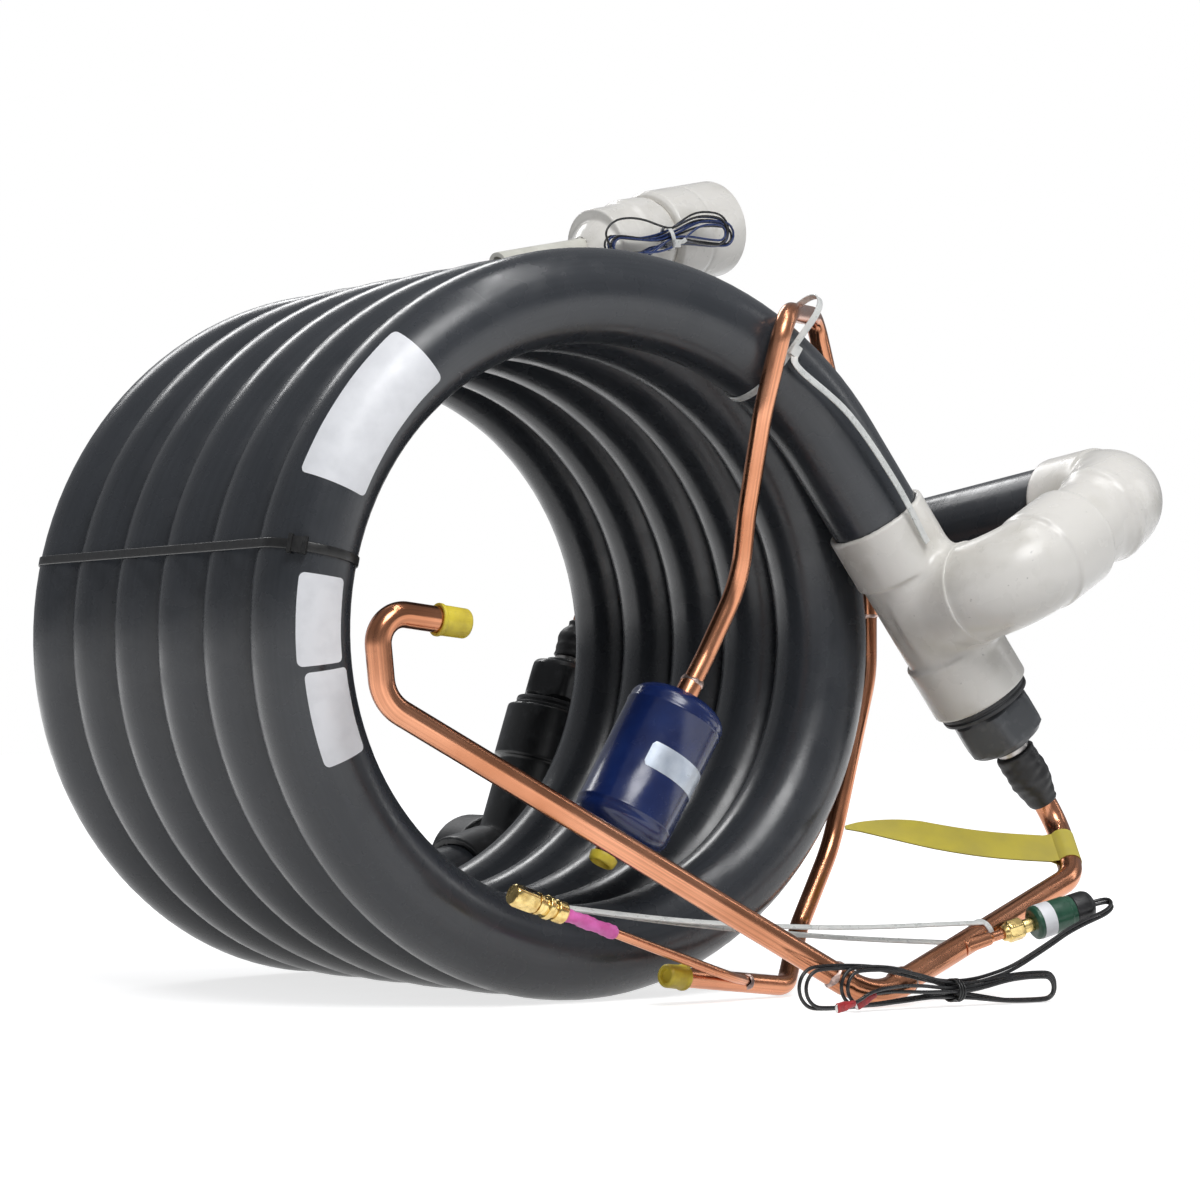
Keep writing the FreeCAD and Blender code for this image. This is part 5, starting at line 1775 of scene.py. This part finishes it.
def wire(name, points, diameter, finish, nodes, on_it):
    """A free wire on a smooth line, with the points of its route as control points."""
    data = bpy.data.curves.new(name, "CURVE")
    data.dimensions = "3D"
    spline = data.splines.new("NURBS")
    spline.points.add(len(points) - 1)
    for control, point in zip(spline.points, points):
        control.co = (*to_row(point), 1)
    spline.order_u = 3
    spline.use_endpoint_u = True
    spline.resolution_u = 5
    data.bevel_depth = diameter / 2000
    data.bevel_resolution = 4
    data.use_fill_caps = True
    data.materials.append(finish)
    made = bpy.data.objects.new(name, data)
    bpy.context.scene.collection.objects.link(made)
    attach(made, "root")
    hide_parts(*nodes)
    tuple(to_row(points[0]))
    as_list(on_it)


def hank(tie, lobes, rows, layer):
    """Points of a wire wound to and fro through its tie.

    A lobe is (reach, rise, lift), with a minus reach to the left. A row is the wire's height at the tie.
    """
    points = []
    shares = (0.0, 0.17, 0.36, 0.56, 0.78)
    for number, (reach, rise, lift) in enumerate(lobes):
        way = 1 if reach > 0 else -1
        straight = abs(reach) - rise
        legs = []
        for row, side in ((rows[number], -way), (rows[number + 1], way)):
            leg = []
            for share in shares:
                ease = min(1.0, share / 0.75)
                ease = ease * ease * (3 - 2 * ease)
                leg.append((straight * share, row + (side * rise - row) * ease))
            legs.append(leg)
        outline = legs[0]
        for angle in (90, 60, 30, 0, -30, -60, -90):
            turn = math.radians(angle)
            outline.append((straight + rise * math.cos(turn), -way * rise * math.sin(turn)))
        outline += reversed(legs[1][1:])
        for step, (out, height) in enumerate(outline):
            gone = number + step / len(outline)
            raised = lift * math.sin(min(1.0, out / (0.6 * abs(reach))) * math.pi / 2)
            points.append(tie + V((way * out, -layer * gone, raised + height)))
    return points


def lofted(line, sizes, power=3.0, sides=28):
    """Points and faces of a flat bar with a rounded section. Each size is (width, thickness)."""
    vertices = []
    for place, way, (width, thickness) in zip(line, directions(line), sizes):
        across = square_to(way, UP)
        thin = way.cross(across)
        for index in range(sides):
            turn = 2 * math.pi * index / sides
            u = math.copysign(abs(math.cos(turn)) ** (2 / power), math.cos(turn)) / 2
            v = math.copysign(abs(math.sin(turn)) ** (2 / power), math.sin(turn)) / 2
            vertices.append(place + across * (u * width) + thin * (v * thickness))
    return vertices, closed_skin(len(line), sides)


# The switch's leads: lengths in metres, the rest in millimetres. A layer is from one run to the next.
LEAD_OD = 2.3
SWITCH_LEAD_LENGTHS = (1.035, 0.985)
LEAD_TIE = V((174, -114, -227.3))
LEAD_LAYER = 2.4


def spade_terminal(name, mouth, end):
    """A crimped terminal: a red sleeve, round at the wire and flat over the tinned blade."""
    run = end - mouth
    line = [mouth + run * share for share in (0.06, 0.1, 0.5, 0.56, 0.62, 0.68, 0.96, 1.0)]
    sizes = [(5.4, 2.4), (6.0, 2.9), (6.1, 3.0), (5.8, 3.1), (4.9, 3.5), (4.4, 3.9), (4.2, 3.9), (3.4, 3.2)]
    cover = piece(name + "_sleeve", "spade_terminals", *lofted(line, sizes), RED, "terminal", sharp=50.0)
    line = [mouth + run * share for share in (0.0, 0.02, 0.2)]
    sizes = [(4.2, 1.1), (4.8, 1.5), (4.8, 1.5)]
    blade = piece(name + "_blade", None, *lofted(line, sizes, 4.0), TIN, "terminal", sharp=50.0)
    return [cover, blade]


def twist_tie():
    """Three turns of thin covered wire round the switch's hank, with two short ends."""
    loop = []
    centre = LEAD_TIE - BACK * 2.5 * LEAD_LAYER
    for step in range(3 * 24 + 7):
        turn = math.radians(15 * step - 130)
        loop.append(centre + V((-3.0 + 6.4 * step / 78, 8.3 * math.cos(turn), 6.7 * math.sin(turn))))
    loop = [loop[0] + V((-1.5, -5.5, -0.6)), loop[0] + V((-0.8, -2.6, 0))] + loop
    loop += [loop[-1] + V((0.6, -2.2, 1.0)), loop[-1] + V((1.6, -5.0, 2.4))]
    return tube("twist_tie", "lead_tie", loop, 0.8, BLACK_NYLON, "strap", sides=10)


def switch_leads(leave, aim):
    """The switch's two leads, wound into a hank with a twist tie and ending in terminals."""
    on_leads = [
        spade_terminal("terminal_1", V((71.5, -134, -233.8)), V((87, -132, -231.2))),
        spade_terminal("terminal_2", V((91, -128, -233.6)), V((106, -128, -226.5))),
    ]
    on_leads[0].append(twist_tie())
    shapes = (
        ((-116.5, 13.0, 5.0), (84.5, 8.4, 0.2), (-88, 11.8, 5.0), (80.5, 7.6, -0.9)),
        ((-113.0, 11.8, 4.6), (82.0, 7.7, -0.6), (-85, 10.4, 4.4), (77.0, 7.4, -1.2)),
    )
    rows = ((5.0, -4.9, 1.5, -1.7, 1.4), (3.1, -3.2, 4.0, -4.2, -0.6))
    tails = (
        [(160, -124.6, -225.0), (146, -126.2, -223.2), (132, -128.6, -222.4), (120, -130.6, -222.6),
         (108, -131.8, -223.4), (98, -132, -225.8), (92, -132, -229.4), (87, -132, -231.2)],
        [(160, -127.4, -227.2), (146, -128.2, -227.0), (132, -128.6, -226.2), (120, -128.4, -225.6),
         (112, -128.1, -225.7), (106, -128, -226.5)],
    )
    lead_in = (
        (309, -111.4, -175.2), (308, -116.6, -178.0), (300, -119.4, -182.4), (285, -118.6, -187.2),
        (268, -118.4, -193.6), (257, -118.2, -199.5), (245, -118, -205.4), (225, -117.4, -215),
    )
    side = square_to(aim, UP)
    for number, length in enumerate(SWITCH_LEAD_LENGTHS):
        shift = side * (1.2 - 2.4 * number)
        tie = LEAD_TIE - BACK * (LEAD_LAYER * number)
        points = [leave + shift, leave + shift + aim * 6]
        points += [V(point) + shift for point in lead_in]
        points.append(V((208, tie.y - 1.6, -219.8)) + shift * 0.8)
        points.append(V((193, tie.y - 0.8, -222.4 - 0.5 * number)) + shift * 0.6)
        points += hank(tie, shapes[number], rows[number], LEAD_LAYER)
        points.append(tie + V((0, -4 * LEAD_LAYER, rows[number][-1])))
        points += [V(point) for point in tails[number]]
        wire("switch_wire_%d" % (number + 1), points, LEAD_OD, BLACK_WIRE,
             ("switch_leads", "switch_lead_hank"), on_leads[number])


# The sensor's wires, in the same way
SENSOR_WIRE_OD = 1.7
SENSOR_LAYER = 1.6
SENSOR_TIE = V((305.5, TOP_CORNER.y - HOSE_R - 3.0, 306.0))


def sensor_nylon_tie():
    """The clear tie round the sensor's hank, with its head in front and a cut end."""
    middle = SENSOR_TIE + V((0, -4.2 * SENSOR_LAYER, 0))
    width = 3.4
    line = []
    for step in range(41):
        turn = 2 * math.pi * step / 40
        line.append(middle + V((-2.4 * math.sin(turn), 7.6 * math.cos(turn), 8.6 * math.sin(turn))))
    loop = ribbon_solid(line, [V((1, 0, 0.3))] * len(line), width, 1.0)
    head = middle + V((3.0, -8.4, -4.6))
    ends = [head - V((0.8, 0, 2.9)), head + V((-0.8, 0, 2.9))]
    block = ribbon_solid(ends, [V((1, 0, 0.2))] * 2, 5.8, 4.6)
    tail = [head + V(step) for step in ((1.5, -1.6, 1.0), (3.9, -2.6, 1.8), (6.0, -2.8, 3.4))]
    stub = ribbon_solid(tail, [V((0.5, 0, -0.8))] * 3, width, 1.0)
    return piece("sensor_nylon_tie", "sensor_tie", *joined(loop, block, stub), NYLON, "tie")


def sensor_lead():
    """The sensor's blue and black wires, tied in a hank in front of the top elbow."""
    leave = TOP_CORNER - TOP_LINE * 46 - V((0, HUB_R, 0))
    tie = sensor_nylon_tie()
    shapes = (
        ((61, 13.0, 11.0), (-55, 7.5, -8.5), (56, 9.4, 8.0), (-50, 5.8, -7.6), (59, 6.6, 6.0),
         (-54, 9.0, -10.5), (53, 10.8, 8.5)),
        ((58, 11.0, 8.8), (-53, 6.4, -8.0), (57, 8.2, 7.4), (-51, 5.7, -8.6), (60, 9.4, 7.0),
         (-52, 8.0, -11.0), (50, 5.8, 7.0)),
    )
    rows = (
        (-6.8, 4.6, -4.8, 2.4, -2.8, 0.4, -1.2, 6.9),
        (-5.8, 5.7, -3.8, 3.5, -1.8, 1.6, -0.4, -7.4),
    )
    tails = (
        [(-12, -0.8, 8.4), (-25, -1.6, 11.6), (-39, -2.0, 12.2), (-52, -2.2, 9.6), (-60, -2.2, 3.0),
         (-61.5, -2.2, -4.5), (-57, -2.2, -10.5)],
        [(-8, -0.6, -10.5), (-17, -1.0, -12.8), (-27, -1.2, -13.6)],
    )
    looks = ((BLACK_WIRE, "black", [tie]), (BLUE_WIRE, "blue", []))
    lead_in = ((269, leave.y - 8, 274), (271, leave.y - 5, 285), (281, leave.y - 3, 293))
    for number, (finish, colour, on_it) in enumerate(looks):
        shift = V((1.6 * number - 0.8, 0, 0))
        start = SENSOR_TIE - V((0, SENSOR_LAYER * number, 0))
        points = [leave + shift, leave + shift - V((0, 12, 0))]
        points += [V(point) + shift for point in lead_in]
        points.append(V((293, start.y, 298.4 + number)))
        points += hank(start, shapes[number], rows[number], SENSOR_LAYER)
        finish_at = start + V((0, -7 * SENSOR_LAYER, 0))
        points.append(finish_at + V((0, 0, rows[number][-1])))
        points += [finish_at + V(step) for step in tails[number]]
        wire("sensor_wire_" + colour, points, SENSOR_WIRE_OD, finish,
             ("sensor_lead", "sensor_lead_hank"), on_it)


hose_line = outer_hose()
return_hose()
front_tee()
street_elbow("white_elbow_front", "branch_elbow", BRANCH_CORNER, BRANCH_LINE * -1, OUTLET_LINE,
             BRANCH_RUN - (BRANCH_REACH - BRANCH_DEPTH) - FIT)
street_elbow("white_elbow_back", "outlet_elbow", OUTLET_CORNER, OUTLET_LINE * -1, RETURN_LINE,
             OUTLET_RUN - ELBOW_LEG + SOCKET_DEPTH - FIT)
top_elbow()
top_coupling()
sensor_port()
rear_elbow()
gland_set("front", on_front(TEE_END), FRONT_LINE, GLAND)
gland_set("rear", on_rear(REAR_SEAT), REAR_UP, DARK_FITTING)
wrapped_sleeve("front_wrap", "front_joint_sleeve", on_front(FRONT_SLEEVE), FRONT_LINE, FRONT_SLEEVE_LENGTH,
               TI_FRONT_END - FRONT_SLEEVE, HOT_R, 2.0)
wrapped_sleeve("rear_wrap", "rear_joint_sleeve", on_rear(REAR_SLEEVE), REAR_UP, REAR_SLEEVE_LENGTH,
               TI_REAR_END - REAR_SLEEVE, COLD_R, 1.0)
dress("titanium_tube", TITANIUM)
lower = discharge_tubes()
hang_tag(lower)
lead_exit, lead_aim = pressure_switch(lower)
service = liquid_lines(drier())
drier_label()
access_valve(service)
for name, start, end, low, high in LABELS:
    hose_label(name, start, end, low, high)
coil_strap()
top_tie(hose_line)
long_tie(lower)
switch_leads(lead_exit, lead_aim)
sensor_lead()


# Floor, light and camera


def rays_seen(tree, first, second):
    """A value of 1 for the two kinds of rays that are named, and 0 for the others."""
    path = tree.nodes.new("ShaderNodeLightPath")
    seen = tree.nodes.new("ShaderNodeMath")
    seen.operation = "MAXIMUM"
    tree.links.new(path.outputs[first], seen.inputs[0])
    tree.links.new(path.outputs[second], seen.inputs[1])
    return seen.outputs[0]


def white_to_camera(name, colour, near, far):
    """A matt floor colour that the camera, and gloss, see as white away from the object's shadow.

    The glow is near by the object and far past it, where the floor meets the white background.
    """
    material = bpy.data.materials.new(name)
    material.use_nodes = True
    tree = material.node_tree
    tree.nodes.clear()
    output = tree.nodes.new("ShaderNodeOutputMaterial")
    matt = tree.nodes.new("ShaderNodeBsdfDiffuse")
    matt.inputs["Color"].default_value = (*colour, 1)
    place = tree.nodes.new("ShaderNodeTexCoord")
    away = tree.nodes.new("ShaderNodeVectorMath")
    away.operation = "LENGTH"
    tree.links.new(place.outputs["Object"], away.inputs[0])
    fade = tree.nodes.new("ShaderNodeMapRange")
    for socket, value in zip(("From Min", "From Max", "To Min", "To Max"), (0.45, 1.3, near, far)):
        fade.inputs[socket].default_value = value
    tree.links.new(away.outputs["Value"], fade.inputs["Value"])
    strength = tree.nodes.new("ShaderNodeMath")
    strength.operation = "MULTIPLY"
    tree.links.new(rays_seen(tree, "Is Camera Ray", "Is Glossy Ray"), strength.inputs[0])
    tree.links.new(fade.outputs["Result"], strength.inputs[1])
    glow = tree.nodes.new("ShaderNodeEmission")
    tree.links.new(strength.outputs[0], glow.inputs["Strength"])
    add = tree.nodes.new("ShaderNodeAddShader")
    tree.links.new(matt.outputs[0], add.inputs[0])
    tree.links.new(glow.outputs[0], add.inputs[1])
    tree.links.new(add.outputs[0], output.inputs["Surface"])
    return material


def studio():
    """The pale floor, and a world that lights softly and looks white to the camera."""
    bpy.ops.mesh.primitive_plane_add(size=30, location=(0, 0, -0.0005))
    floor = bpy.context.object
    floor.name = "floor"
    floor.data.materials.append(white_to_camera("floor_white", (0.66, 0.66, 0.66), 0.74, 1.0))
    world = bpy.data.worlds.new("studio")
    bpy.context.scene.world = world
    world.use_nodes = True
    tree = world.node_tree
    tree.nodes.clear()
    output = tree.nodes.new("ShaderNodeOutputWorld")
    mix = tree.nodes.new("ShaderNodeMixShader")
    tree.links.new(rays_seen(tree, "Is Camera Ray", "Is Transmission Ray"), mix.inputs[0])
    for slot, colour, strength in ((1, (0.86, 0.88, 0.92, 1), 0.31), (2, (1, 1, 1, 1), 1.0)):
        glow = tree.nodes.new("ShaderNodeBackground")
        glow.inputs["Color"].default_value = colour
        glow.inputs["Strength"].default_value = strength
        tree.links.new(glow.outputs[0], mix.inputs[slot])
    tree.links.new(mix.outputs[0], output.inputs["Surface"])


def lamp(name, place, target, size, power):
    data = bpy.data.lights.new(name, "AREA")
    data.shape = "RECTANGLE"
    data.size = size[0]
    data.size_y = size[1]
    data.energy = power
    made = bpy.data.objects.new(name, data)
    bpy.context.scene.collection.objects.link(made)
    made.location = place
    made.rotation_euler = (V(target) - V(place)).to_track_quat("-Z", "Y").to_euler()


# The camera that was fitted to the photo. Its place is round the coil's centre, its lens for 36 mm film.
CAMERA_PLACE = V((-1287.92, -1922.24, -61.29))
CAMERA_AIM = V((0.55301, 0.83252, 0.03295))
CAMERA_UP = V((-0.02037, -0.02603, 0.99945))
CAMERA_LENS = 111.14


def camera():
    data = bpy.data.cameras.new("camera")
    data.sensor_width = 36.0
    data.lens = CAMERA_LENS
    data.dof.use_dof = False
    data.clip_start = 0.05
    made = bpy.data.objects.new("camera", data)
    bpy.context.scene.collection.objects.link(made)
    side = CAMERA_AIM.cross(CAMERA_UP).normalized()
    over = side.cross(CAMERA_AIM).normalized()
    turn = Matrix((side, over, CAMERA_AIM.normalized() * -1)).transposed().to_4x4()
    turn.translation = to_row(CAMERA_PLACE)
    made.matrix_world = turn
    bpy.context.scene.camera = made


studio()
lamp("key", (-0.5, -1.9, 2.0), (0, 0, 0.25), (1.1, 1.1), 36)
lamp("tube_1", (0.0, -0.7, 2.5), (0.1, 0, 0.3), (0.04, 1.6), 7)
lamp("tube_2", (0.2, -0.7, 2.5), (0.1, 0, 0.3), (0.04, 1.6), 7)
lamp("right", (2.2, -0.9, 1.3), (0, 0, 0.25), (0.2, 1.5), 4)
lamp("back", (0.2, 2.2, 2.0), (0, 0, 0.3), (1.6, 0.5), 18)
camera()

bpy.context.scene.view_settings.view_transform = "Standard"
